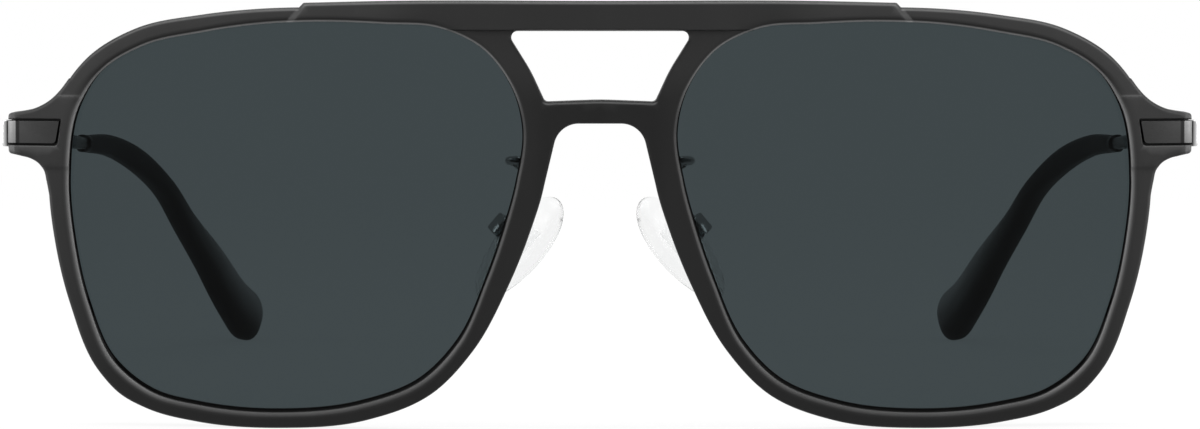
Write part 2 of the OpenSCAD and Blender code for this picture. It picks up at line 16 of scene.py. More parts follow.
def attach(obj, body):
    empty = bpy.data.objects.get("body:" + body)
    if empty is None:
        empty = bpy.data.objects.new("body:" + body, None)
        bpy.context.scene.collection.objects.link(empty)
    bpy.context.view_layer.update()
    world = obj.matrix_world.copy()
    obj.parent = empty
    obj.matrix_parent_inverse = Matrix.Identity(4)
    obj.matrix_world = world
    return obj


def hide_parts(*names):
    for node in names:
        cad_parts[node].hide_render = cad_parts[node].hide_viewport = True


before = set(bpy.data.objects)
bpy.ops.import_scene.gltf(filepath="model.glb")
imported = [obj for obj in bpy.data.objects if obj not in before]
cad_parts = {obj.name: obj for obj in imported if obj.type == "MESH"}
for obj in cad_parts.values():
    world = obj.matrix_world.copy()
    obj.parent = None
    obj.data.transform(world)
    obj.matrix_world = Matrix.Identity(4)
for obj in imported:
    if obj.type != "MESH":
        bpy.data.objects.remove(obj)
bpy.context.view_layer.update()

# The part's own values
LENS_W, LENS_H, LENS_GAP, LENS_T, LENS_BITE = 55.2, 46.9, 18.7, 2.0, 0.7
FRONT_R, RIM_DEPTH = 230.0, 3.8
RIM_BROW, RIM_SIDE, RIM_BOTTOM, RIM_NOSE = 1.8, 2.6, 2.4, 3.25
LIP_T, BACK_EASE = 1.0, 0.3
BROW_HALF, BROW_RISE, BROW_UNDER, BROW_PROUD, BROW_SLANT = 35.8, 2.5, 1.1, 0.6, 2.0
BRIDGE_H, BRIDGE_UP = 2.85, 11.25
END_REACH, END_PROUD, END_DEPTH = 7.9, 0.25, 4.6
SLOT_H, PRONG_TOP, PRONG_LOW, HINGE_UP = 2.9, 0.8, 1.15, 9.9
PLATE_T, PLATE_LEG, KNUCKLE_R, KNUCKLE_H, PIN_D, HINGE_BACK = 1.1, 6.3, 1.25, 3.0, 1.2, 6.8
TEMPLE_T, TEMPLE_H, TEMPLE_END_H, TEMPLE_PROUD, TEMPLE_LOW = 1.4, 3.3, 1.5, 1.5, 0.4
TEMPLE_RUN, TEMPLE_SLOPE, TEMPLE_LEAN = 75.5, 3.2, 2.0
TIP_RUN, TIP_IN, PADDLE_H, PADDLE_T, SOCK_H, SOCK_T, SOCK_NOTCH = 50.5, 18.8, 10, 4.3, 2.4, 2.1, 1.8
PAD_L, PAD_W, PAD_T, PAD_OUT, PAD_BACK, PAD_DOWN = 15.4, 8.3, 2.2, 10.5, 12.0, 4.0
WIRE_D = 1.0
SEAT, PIN_GAP, KNUCKLE_GAP = 0.05, 0.03, 0.05
# Depth of the whole part's middle, where the row's frame has its zero
MIDDLE_Y = 73.4546

LENS_X = LENS_GAP / 2 + LENS_W / 2
LENS_Z = RIM_BOTTOM + LENS_H / 2
HINGE_Z = LENS_Z + HINGE_UP


# Curves and outlines
def unit(v):
    """Each row divided by its length."""
    v = np.asarray(v, float)
    return v / np.maximum(np.linalg.norm(v, axis=-1, keepdims=True), 1e-12)


def along(points, t, loop=False):
    """Smooth curve through points at the places t, counted in points.

    Cubic Hermite: (2t3 - 3t2 + 1) p + (t3 - 2t2 + t) d m + (3t2 - 2t3) q + (t3 - t2) d n, where
    d is the chord and each slope m is the mean of the unit chords beside its point, each
    weighted by the other's length.
    """
    p = np.asarray(points, float)
    back, on = np.roll(p, 1, 0), np.roll(p, -1, 0)
    before = np.linalg.norm(p - back, axis=1, keepdims=True)
    after = np.linalg.norm(on - p, axis=1, keepdims=True)
    slope = ((p - back) / before * after + (on - p) / after * before) / (before + after)
    if not loop:
        slope[0], slope[-1] = ((on - p) / after)[0], ((p - back) / before)[-1]
    t = np.asarray(t, float)
    i = np.clip(np.floor(t).astype(int), 0, len(p) - (1 if loop else 2))
    f, j = (t - i)[:, None], (i + 1) % len(p)
    d = after[i]
    return (p[i] * (2 * f**3 - 3 * f**2 + 1) + slope[i] * d * (f**3 - 2 * f**2 + f)
            + p[j] * (3 * f**2 - 2 * f**3) + slope[j] * d * (f**3 - f**2))


def curve(points, steps, loop=False):
    """The same curve at equal steps between its points."""
    spans = len(points) if loop else len(points) - 1
    return along(points, np.arange(spans * steps + (0 if loop else 1)) / steps, loop)


def left(v):
    """Unit vectors a quarter turn to the left of the rows of v."""
    return unit(np.stack([-v[:, 1], v[:, 0]], 1))


def outward(line):
    """Unit normals to the left of a closed clockwise outline, from each point's neighbours."""
    return left(np.roll(line, -1, 0) - np.roll(line, 1, 0))


def side_of(line):
    """Left normals of an open line's points."""
    return left(np.gradient(line, axis=0))


def grown(line, d):
    """The outline moved outwards by d."""
    return line[:, :2] + outward(line) * d


def corner(a, p, b, r, n=8):
    """Arc of radius r that meets both sides of the corner a, p, b."""
    a, p, b = (np.asarray(v, float)[:2] for v in (a, p, b))
    u, v = unit(a - p), unit(b - p)
    half = math.acos(float(u @ v)) / 2
    c = p + unit(u + v) * r / math.sin(half)
    s, e = p + u * r / math.tan(half) - c, p + v * r / math.tan(half) - c
    k = np.linspace(0, 1, n + 1)[:, None]
    turn = math.pi - 2 * half
    return c + (s * np.sin(turn * (1 - k)) + e * np.sin(turn * k)) / math.sin(turn)


def crossing(a, b):
    """Where the open line a first crosses the open line b: the point and both segments' indices."""
    p, r = a[:-1, None], (a[1:] - a[:-1])[:, None]
    q, s = b[None, :-1], (b[1:] - b[:-1])[None]
    den = r[..., 0] * s[..., 1] - r[..., 1] * s[..., 0]
    den = np.where(abs(den) < 1e-12, 1e-12, den)
    w = q - p
    t = (w[..., 0] * s[..., 1] - w[..., 1] * s[..., 0]) / den
    u = (w[..., 0] * r[..., 1] - w[..., 1] * r[..., 0]) / den
    i, j = np.nonzero((t >= 0) & (t <= 1) & (u >= 0) & (u <= 1))
    first = np.argmin(i)
    i, j = i[first], j[first]
    return a[i] + t[i, j] * (a[i + 1] - a[i]), i, j


def single(points):
    """The points rounded to single precision, as the triangulation holds them."""
    return points.astype(np.float32).astype(float)


def level(a, b, z, n):
    """n points from x = a to x = b at the height z."""
    return np.stack([np.linspace(a, b, n), np.full(n, z)], 1)


def chunks(points):
    """The points in runs that keep a table of all their distances small."""
    return np.array_split(points, max(1, len(points) // 1500))


def near(points, line, loop=True):
    """Distance of each point from the line, and the line's left normal at the nearest segment."""
    a = line if loop else line[:-1]
    b = np.roll(line, -1, 0) if loop else line[1:]
    d = b - a
    side = left(d)
    length = np.maximum((d * d).sum(1), 1e-12)
    out, normal = [], []
    for chunk in chunks(points):
        w = chunk[:, None] - a[None]
        t = np.clip((w * d).sum(2) / length, 0, 1)
        gap = np.linalg.norm(w - t[..., None] * d, axis=2)
        out.append(gap.min(1))
        normal.append(side[gap.argmin(1)])
    return np.concatenate(out), np.concatenate(normal)


def inside(points, line):
    """True where a ray from the point crosses the closed line's edges an odd number of times."""
    a, b = line, np.roll(line, -1, 0)
    rise = np.where(abs(b[:, 1] - a[:, 1]) < 1e-12, 1e-12, b[:, 1] - a[:, 1])
    out = []
    for chunk in chunks(points):
        x, z = chunk[:, :1], chunk[:, 1:]
        spans = (a[:, 1] > z) != (b[:, 1] > z)
        beyond = x < (b[:, 0] - a[:, 0]) * (z - a[:, 1]) / rise + a[:, 0]
        out.append((spans & beyond).sum(1) % 2 == 1)
    return np.concatenate(out)


def ease(x):
    """0 below 0, 1 above 1, and 3x2 - 2x3 between."""
    x = np.clip(x, 0, 1)
    return x * x * (3 - 2 * x)


def bell(x):
    """e to the power -x2: 1 at 0, falling to both sides."""
    return np.exp(-x**2)


def turns(n):
    """The angles of n equal steps round a circle."""
    return 2 * np.pi * np.arange(n) / n


def circle(angles):
    """Points of the unit circle at these angles."""
    return np.stack([np.cos(angles), np.sin(angles)], 1)


def ball_y(x, z, proud):
    """Depth of the sphere that the front follows, standing out by proud."""
    return FRONT_R - np.sqrt((FRONT_R + proud) ** 2 - x**2 - (z - LENS_Z) ** 2)


def lifted(p, y):
    """Points of the front view, brought to the depths y."""
    return np.stack([p[..., 0], y, p[..., 1]], -1)


def on_ball(p, proud):
    """Points of the front view, brought to the sphere that stands out by proud."""
    return lifted(p, ball_y(p[..., 0], p[..., 1], proud))


RIM_HIGH, RIM_LOW = (RIM_BROW + RIM_SIDE) / 2, (RIM_BOTTOM + RIM_NOSE) / 2
# Knots of the lens outline: shares of half its width and height, and what the rim's width there
# adds to the widths below
LENS_KNOTS = np.array([
    [-0.12, 1, -0.09], [0.16, 0.985, 0.06], [0.409, 0.943, 0.33], [0.674, 0.871, 0.11],
    [0.864, 0.733, 0.24], [0.947, 0.578, 0.26], [1, 0.2, 0.16], [0.978, -0.13, 0.04],
    [0.918, -0.444, -0.09], [0.797, -0.757, 0.31], [0.719, -0.843, 0.47], [0.628, -0.909, 0.22],
    [0.42, -0.97, 0.14], [0.065, -1, -0.02], [-0.29, -0.951, 0.13], [-0.55, -0.829, 0.07],
    [-0.712, -0.632, 0.02], [-0.842, -0.301, 0.15], [-0.924, -0.022, 0.06], [-0.972, 0.191, 0.24],
    [-1, 0.45, 0], [-0.957, 0.655, 0], [-0.833, 0.857, 0], [-0.64, 0.968, 0], [-0.4, 0.989, 0]])
LENS_KNOTS[:, 2] += np.repeat([RIM_BROW, RIM_HIGH, RIM_SIDE, RIM_BOTTOM, RIM_LOW, RIM_NOSE,
                               RIM_LOW, RIM_BROW], [3, 2, 4, 8, 1, 3, 3, 1])
LINE_STEPS = 16
lens_line = curve(LENS_KNOTS * [LENS_W / 2, LENS_H / 2, 1] + [LENS_X, LENS_Z, 0], LINE_STEPS, True)
lens_edge = single(lens_line[:, :2])
rim_edge = lens_line[:, :2] + outward(lens_line) * lens_line[:, 2:]

BRIDGE_LOW = LENS_Z + BRIDGE_UP
BRIDGE_TOP = BRIDGE_LOW + BRIDGE_H
BROW_TOP = LENS_Z + LENS_H / 2 + BROW_RISE
BROW_LOW = LENS_Z + LENS_H / 2 - BROW_UNDER
BROW_FALL, BROW_END_H = 0.25, 2.3
END_X = LENS_GAP / 2 + LENS_W + END_REACH
RIM_X = END_X - END_REACH + RIM_SIDE
SLOT_TOP, SLOT_LOW = HINGE_Z + SLOT_H / 2, HINGE_Z - SLOT_H / 2
GAP_TOP, GAP_LOW = SLOT_TOP + 0.17, SLOT_LOW - 0.17
NOTCH_TOP, NOTCH_LOW = SLOT_TOP + 0.02, SLOT_LOW - 0.02
END_TOP, END_LOW = SLOT_TOP + PRONG_TOP, SLOT_LOW - PRONG_LOW
END_Y = float(ball_y(END_X, HINGE_Z, END_PROUD))
END_TURN = math.asin(END_X / FRONT_R)
CORNER_R = 1.2
HINGE_Y = END_Y + HINGE_BACK
HINGE_X = END_X - PLATE_T - KNUCKLE_R - KNUCKLE_GAP
SLOT_X = END_X - PLATE_T - SEAT
PLATE_X = END_X - PLATE_LEG
PLATE_SLANT, PRONG_ROUND, FLOOR_STEP = 0.5, 0.6, 0.03


def front_outline():
    """Right half of the front's outline, clockwise from the brow's middle to the bridge's.

    The brow bar's top and slanted end, the rim, the end piece with its slot, the rim round the
    bottom to the nose, and the bridge's underside, each cut where it crosses the next.
    Returns its three stretches by name.
    """
    brow = np.vstack([curve([[0, BROW_TOP], [BROW_HALF * 0.7, BROW_TOP],
                             [BROW_HALF, BROW_TOP - BROW_FALL]], 30),
                      [[BROW_HALF + BROW_SLANT, BROW_TOP - BROW_END_H]]])
    rim = np.vstack([rim_edge[-LINE_STEPS:], rim_edge])
    up, i, j = crossing(brow, rim)
    high = curve(np.array([[-2.4, 4.3], [-1.3, 2.87], [-0.1, 1.7], [1.1, 0.97], [2.4, 0.48],
                           [3.7, 0.22]]) + [RIM_X, END_TOP], 8)
    low = curve(np.array([[3.7, -0.32], [2.4, -0.65], [1.4, -1.23], [0.75, -2.1], [0.45, -3.3],
                          [-0.03, -5.8]]) + [RIM_X, END_LOW], 8)
    upper, lower, mid = [END_X, END_TOP], [END_X, END_LOW], [END_X, HINGE_Z]
    high = np.vstack([[[RIM_X - 3, END_TOP + 4.3]], high, corner(high[-1], upper, mid, PRONG_ROUND)])
    low = np.vstack([corner(mid, lower, low[0], PRONG_ROUND), low, [[RIM_X - 3, END_LOW - 5.8]]])
    a, k, m = crossing(rim[j + 1:], high)
    k += j + 1
    b, n, o = crossing(rim[k + 1:], low)
    n += k + 1
    top = np.vstack([brow[:i + 1], [up], rim[j + 1:k + 1], [a], high[m + 1:]])
    # The rim's line starts one knot early, so the nose's knot 19 is its point 20 * LINE_STEPS
    stop = 20 * LINE_STEPS
    nose = corner(rim[stop], [LENS_GAP / 2 - RIM_NOSE - 1.18, BRIDGE_LOW], [0, BRIDGE_LOW], 3, 14)
    below = np.vstack([low[:o + 1], [b], rim[n + 1:stop + 1], nose,
                       level(nose[-1, 0], 0, BRIDGE_LOW, 7)[1:]])
    notch = np.vstack([[[END_X, GAP_TOP], [END_X, GAP_TOP - FLOOR_STEP]],
                       level(END_X, SLOT_X, NOTCH_TOP, 5),
                       level(NOTCH_TOP, NOTCH_LOW, SLOT_X, 9)[1:-1, ::-1],
                       level(END_X, SLOT_X, NOTCH_LOW, 5)[::-1],
                       [[END_X, GAP_LOW + FLOOR_STEP], [END_X, GAP_LOW]]])
    return {"top": top, "notch": notch, "below": below}


def half_opening():
    """Right half of the opening between brow and bridge, from its bottom middle to its top one."""
    top = [LENS_GAP / 2 + 2, BROW_LOW]
    mid = [LENS_GAP / 2 - 1, BRIDGE_TOP + (BROW_LOW - BRIDGE_TOP) * 0.42]
    low = [LENS_GAP / 2 - RIM_LOW + 0.1, BRIDGE_TOP - 0.25]
    foot = [0, BRIDGE_TOP]
    bridge = corner([-low[0], low[1]], foot, low, 40, 16)
    bridge = bridge[bridge[:, 0] > 0.02]
    line = np.vstack([bridge, corner(foot, low, mid, 0.6), corner(low, mid, top, 20),
                      corner(mid, top, [-top[0], BROW_LOW], 0.8)])
    return np.vstack([[[0, bridge[0, 1]]], line, level(line[-1, 0], 0, BROW_LOW, 24)[1:]])


def slot_line(play):
    """Open line round the end piece's slot, from the tip's side along its top, and back below."""
    top, low = GAP_TOP + play, GAP_LOW - play
    a = [PLATE_X - PLATE_SLANT / 2 - 0.24 - play, top]
    b = [PLATE_X + PLATE_SLANT / 2 - 0.24 - play, low]
    high = corner([END_X, top], a, b, 0.12, 4)
    deep = corner(a, b, [END_X, low], 0.5)
    side = level(END_X, high[0, 0], top, 18)[:-1]
    return np.vstack([side, high, deep, level(deep[-1, 0], END_X, low, 18)[1:]])


# Meshes
def cells(n, s, closed, loop):
    """The corners' indices of each cell in a grid of n rings of s points, joined where asked."""
    i, k = np.meshgrid(np.arange(n if closed else n - 1), np.arange(s if loop else s - 1), indexing="ij")
    on, up = (i + 1) % n, (k + 1) % s
    return np.stack([i * s + k, i * s + up, on * s + up, on * s + k], -1).reshape(-1, 4)


def skin(rings, closed=False):
    """Quads over a grid of rings; a skin that isn't closed gets a flat cap at each end."""
    n, s = rings.shape[:2]
    faces = cells(n, s, closed, True).tolist()
    if not closed:
        faces += [list(range(s))[::-1], list(range((n - 1) * s, n * s))]
    return rings.reshape(-1, 3), faces


def strips(rings, loop):
    """Triangles between open or closed rings, as points and faces."""
    quads = cells(*rings.shape[:2], False, loop)
    return rings.reshape(-1, 3), np.concatenate([quads[:, :3], quads[:, [0, 2, 3]]]).tolist()


def rings_on(path, w, h, power, sides, ref=(0, 0, 1), square=0):
    """Rings across a path: w/2 and h/2 times the signed powers 2/power of cosine and sine.

    The first rings, as many as square says, stand square to Y.
    """
    way = unit(np.gradient(path, axis=0))
    way[:square] = [0, 1, 0]
    across = unit(np.cross(way, np.asarray(ref, float)))
    up = np.cross(across, way)
    a = turns(sides)
    w, h, power = (np.broadcast_to(np.asarray(v, float), len(path))[:, None] for v in (w, h, power))
    c = np.sign(np.cos(a)) * abs(np.cos(a)) ** (2 / power) * w / 2
    s = np.sign(np.sin(a)) * abs(np.sin(a)) ** (2 / power) * h / 2
    return path[:, None] + across[:, None] * c[..., None] + up[:, None] * s[..., None], way


def make(name, shells, body, nodes, slot, look, mirror=False, sharp=40, bevel=0.0, marks=None):
    """One piece from its shells: welded, turned outwards, bevelled if asked, shaded smooth.

    shells are pairs of points in millimetres and faces; marks maps an attribute's name to one
    value a point.
    """
    points = np.vstack([p for p, _ in shells])
    starts = np.cumsum([0] + [len(p) for p, _ in shells]).tolist()
    faces = [[v + s for v in f] for (_, fs), s in zip(shells, starts) for f in fs]
    points = (points - [0, MIDDLE_Y, 0]) * [-0.001 if mirror else 0.001, 0.001, 0.001]
    mesh = bpy.data.meshes.new(name)
    mesh.from_pydata(points.tolist(), [], faces)
    for key, values in (marks or {}).items():
        mesh.attributes.new(key, "FLOAT", "POINT").data.foreach_set("value", np.ravel(values))
    finish_piece(name, mesh, body, nodes, look, sharp, bevel)


def finish_piece(name, mesh, body, nodes, look, sharp, bevel):
    """Welds and turns the mesh, bevels its sharp edges, and makes it a piece that stands for nodes."""
    work = bmesh.new()
    work.from_mesh(mesh)
    bmesh.ops.remove_doubles(work, verts=work.verts, dist=1e-6)
    bmesh.ops.dissolve_degenerate(work, dist=1e-7, edges=work.edges)
    if bevel:
        bmesh.ops.dissolve_limit(work, angle_limit=math.radians(2), verts=work.verts, edges=work.edges)
        edges = [e for e in work.edges if e.is_manifold and e.calc_face_angle() > math.radians(35)]
        bmesh.ops.bevel(work, geom=edges, offset=bevel * 0.001, offset_type="OFFSET",
                        segments=2, profile=0.5, affect="EDGES", clamp_overlap=True)
    bmesh.ops.recalc_face_normals(work, faces=work.faces)
    work.to_mesh(mesh)
    work.free()
    mesh.polygons.foreach_set("use_smooth", np.ones(len(mesh.polygons), bool))
    mesh.set_sharp_from_angle(angle=math.radians(sharp))
    mesh.materials.append(look)
    piece = bpy.data.objects.new(name, mesh)
    bpy.context.scene.collection.objects.link(piece)
    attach(piece, body)
    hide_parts(*nodes)


def from_node(name, body, node, look, bevel):
    """A piece that is a copy of a CAD node with its edges bevelled."""
    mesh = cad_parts[node].data.copy()
    mesh.name = name
    mesh.materials.clear()
    finish_piece(name, mesh, body, [node], look, 40, bevel)


# Materials
class Value:
    """A socket's value; its sums, differences and products add Math nodes."""

    def __init__(self, look, socket):
        self.look, self.socket = look, socket

    def math(self, operation, a, b=0.0):
        return self.look.node("ShaderNodeMath", {"operation": operation}, {0: a, 1: b})

    def __add__(self, other):
        return self.math("ADD", self, other)

    def __sub__(self, other):
        return self.math("SUBTRACT", self, other)

    def __rsub__(self, other):
        return self.math("SUBTRACT", other, self)

    def __mul__(self, other):
        return self.math("MULTIPLY", self, other)

    __radd__ = __add__
    __rmul__ = __mul__


class Look:
    """A material or world: its shader's constants, and the nodes that its maker adds."""

    def __init__(self, name, kind="materials", shader="Principled BSDF", **constants):
        self.material = getattr(bpy.data, kind).new(name)
        self.material.use_nodes = True
        self.tree = self.material.node_tree
        self.shader = self.tree.nodes[shader]
        for key, value in constants.items():
            self.shader.inputs[key.replace("_", " ")].default_value = value
        self.place = self.node("ShaderNodeTexCoord", {}, {}, "Object")

    def node(self, kind, settings, inputs, output=0):
        """Adds a node of this type with its settings, then the values or links of its sockets."""
        made = self.tree.nodes.new(kind)
        for key, value in settings.items():
            setattr(made, key, value)
        for key, value in inputs.items():
            if isinstance(value, Value):
                self.tree.links.new(value.socket, made.inputs[key])
            else:
                made.inputs[key].default_value = value
        return Value(self, made.outputs[output])

    def feed(self, **links):
        """Links values to the shader's own sockets."""
        for key, value in links.items():
            self.tree.links.new(value.socket, self.shader.inputs[key.replace("_", " ")])

    def noise(self, size, detail=3.0, stretch=(1, 1, 1)):
        """Noise whose features are about size millimetres, longer along a small stretch."""
        at = self.node("ShaderNodeMapping", {}, {"Vector": self.place, "Scale": stretch})
        return self.node("ShaderNodeTexNoise", {}, {"Vector": at, "Scale": 1000 / size,
                                                     "Detail": detail, "Roughness": 0.6})

    def mix(self, factor, a, b):
        """Colour a where factor is 0, and b where it is 1."""
        return self.node("ShaderNodeMix", {"data_type": "RGBA"}, {0: factor, 6: a, 7: b}, 2)

    def step(self, value, low, high):
        """0 where the value is under low, 1 where it is over high, and smooth between."""
        return self.node("ShaderNodeMapRange", {"interpolation_type": "SMOOTHSTEP"},
                         {0: value, 1: low, 2: high})

    def mark(self, name):
        """The piece's own attribute."""
        return self.node("ShaderNodeAttribute", {"attribute_name": name}, {}, "Fac")

    def bump(self, height, depth, strength=1.0):
        """Normals of a surface that rises by depth millimetres."""
        made = self.node("ShaderNodeBump", {}, {"Strength": strength, "Distance": depth * 0.001,
                                                "Height": height})
        self.feed(Normal=made)

    def show_white(self, light, share, end):
        """Mixes in plain white light of strength 1 for what the camera, gloss and glass see.

        share is the mix's largest factor, and end the name of the tree's last node.
        """
        camera, gloss, glass = (self.node("ShaderNodeLightPath", {}, {}, f"Is {ray} Ray")
                                for ray in ("Camera", "Glossy", "Transmission"))
        seen = camera.math("MAXIMUM", camera.math("MAXIMUM", camera, gloss), glass)
        white = self.node(light, {}, {"Color": (1, 1, 1, 1), "Strength": 1})
        own = Value(self, self.shader.outputs[0])
        mixed = self.node("ShaderNodeMixShader", {}, {0: seen * share, 1: own, 2: white})
        self.tree.links.new(mixed.socket, self.tree.nodes[end].inputs["Surface"])


def grey(level, tint=(1, 1, 1)):
    """Linear colour of an sRGB level from 0 to 255, tinted."""
    v = level / 255
    v = v / 12.92 if v <= 0.04045 else ((v + 0.055) / 1.055) ** 2.4
    return (v * tint[0], v * tint[1], v * tint[2], 1)


def moulded_black():
    """Matt black moulding: fine grain, faint flow marks, edges polished by wear, painted highlights on
    chamfers and edges, painted shade in gaps and creases, and painted light on its faces.
    """
    look = Look("moulded_black", IOR=1.5, Specular_IOR_Level=0.2)
    grain, flow = look.noise(0.12), look.noise(9, 2, (1, 1, 0.4))
    edge, trim, gap = look.mark("edge"), look.mark("trim"), look.mark("gap")
    # Painted light: the mark makes faces paler where they turn up beside the temples and darker below the
    # lenses and at the nose; edge wear and flow marks vary it too
    painted_light_and_wear = look.mark("painted_light_and_wear") + edge * 0.15 + (flow - 0.5) * 0.25
    colour = look.mix(painted_light_and_wear, grey(5), grey(44))
    # Painted highlight: chamfers, edge lines, the slot's lip and the prongs' tips lighten towards grey
    # 118
    colour = look.mix(trim * (0.8 + flow * 0.4), colour, grey(118))
    # Painted shade: the lens gap, dark edge lines, edges that face down, the creases and the slot darken
    # towards grey 5
    look.feed(Base_Color=look.mix(gap, colour, grey(5)),
              Roughness=0.5 + (grain - 0.5) * 0.16 + (flow - 0.5) * 0.1 - edge * 0.1 - trim * 0.15)
    look.bump(grain, 0.006, 0.6)
    return look.material


def tinted_lens():
    """Green-grey sun lens with a faint haze where it has been wiped."""
    look = Look("green_grey_lens", IOR=1.13, Transmission_Weight=1.0)
    wiped, cloud = look.noise(6, 4, (1, 1, 0.25)), look.noise(30, 1)
    look.feed(Base_Color=look.mix(cloud * 0.15, (0.0465, 0.0595, 0.0635, 1),
                                  (0.0515, 0.066, 0.0705, 1)),
              Roughness=0.004 + wiped * 0.008)
    return look.material


def satin_metal(name, level, rough, streak, drawn, dress=None):
    """Satin metal: fine lines along the drawn direction, and a soft mottle; dress recolours it."""
    look = Look(name, Metallic=1.0)
    lines, mottle = look.noise(streak, 3, drawn), look.noise(1.6, 3)
    colour = look.mix(lines * 0.7 + mottle * 0.3, grey(level * 0.9), grey(level * 1.1))
    colour, more = dress(look, colour) if dress else (colour, 0)
    look.feed(Base_Color=colour,
              Roughness=more + rough + (lines - 0.5) * 0.14 + (mottle - 0.5) * 0.08)
    look.bump(lines, 0.004, 0.5)
    return look.material


def painted_light_bar_end(look, colour):
    """The temple's end gets painted shade in its middle and a painted highlight along its outer corner.
    """
    colour = look.mix(look.mark("shade"), colour, grey(46))
    return look.mix(look.mark("painted_highlight"), colour, grey(200)), 0


def bent_plate(look, colour):
    """The plate's leg and bend carry a painted highlight, and its face is dark, a little paler towards
    the bend and darkest in a band of painted shade beside it.
    """
    across = look.node("ShaderNodeSeparateXYZ", {}, {0: look.place}, 0)
    x = across.math("ABSOLUTE", across) * 1000
    # Painted light: paler towards the bend, a band of painted shade beside it, and a painted highlight on
    # the bend and leg
    face = look.mix(look.step(x, PLATE_X, END_X - 1.7), colour, grey(66))
    face = look.mix(look.step(x, END_X - 1.62, END_X - 1.42), face, grey(44))
    painted_highlight = look.step(x, END_X - 1.14, END_X - 0.94)
    return look.mix(painted_highlight, face, grey(128)), painted_highlight * 0.35


def black_sleeve():
    """Black soft plastic of the tips: a fine orange-peel skin with rubbed patches, and a painted sheen
    along one side.
    """
    look = Look("black_sleeve", IOR=1.5, Specular_IOR_Level=0.2)
    skin_, rubbed = look.noise(0.35, 2), look.noise(4, 3)
    colour = look.mix(rubbed, grey(6), grey(16))
    # Painted sheen: a light streak towards grey 130 where the mark says
    look.feed(Base_Color=look.mix(look.mark("painted_sheen"), colour, grey(130)),
              Roughness=0.42 + (rubbed - 0.5) * 0.2 + (skin_ - 0.5) * 0.1)
    look.bump(skin_, 0.008, 0.5)
    return look.material


def clear_plastic(name, rough, ior, level):
    """Clear plastic or silicone, faintly clouded, with a soft skin."""
    look = Look(name, IOR=ior, Transmission_Weight=1.0)
    cloud, skin_ = look.noise(3, 3), look.noise(0.5, 2)
    look.feed(Base_Color=look.mix(cloud, grey(level), grey(level * 0.985, (0.99, 1, 1))),
              Roughness=rough + (cloud - 0.5) * 0.08)
    look.bump(skin_, 0.006, 0.4)
    return look.material


# The front
# Distances from the outer edges and from the opening's edge at which the mesh has lines
EDGE_STEPS = np.array([0.06, 0.15, 0.25, 0.36, 0.46, 0.58])
HOLE_STEPS = np.array([0.05, 0.14, 0.24, 0.34, 0.44])
# Radii of the rounded edges
EDGE_ROUND, HOLE_ROUND, SLOT_ROUND, BACK_ROUND, GROOVE_ROUND = 0.45, 0.3, 0.12, 0.35, 0.15
# The bridge lies back by BRIDGE_IN up to BRIDGE_HALF from the middle
BRIDGE_IN, BRIDGE_HALF = 0.12, 6.4
# Recesses of the plate's screws at the back, and the width of the eased edge behind a lens
HEAD_R, HEAD_DEEP, LENS_SOFT = 0.93, 0.5, 0.9


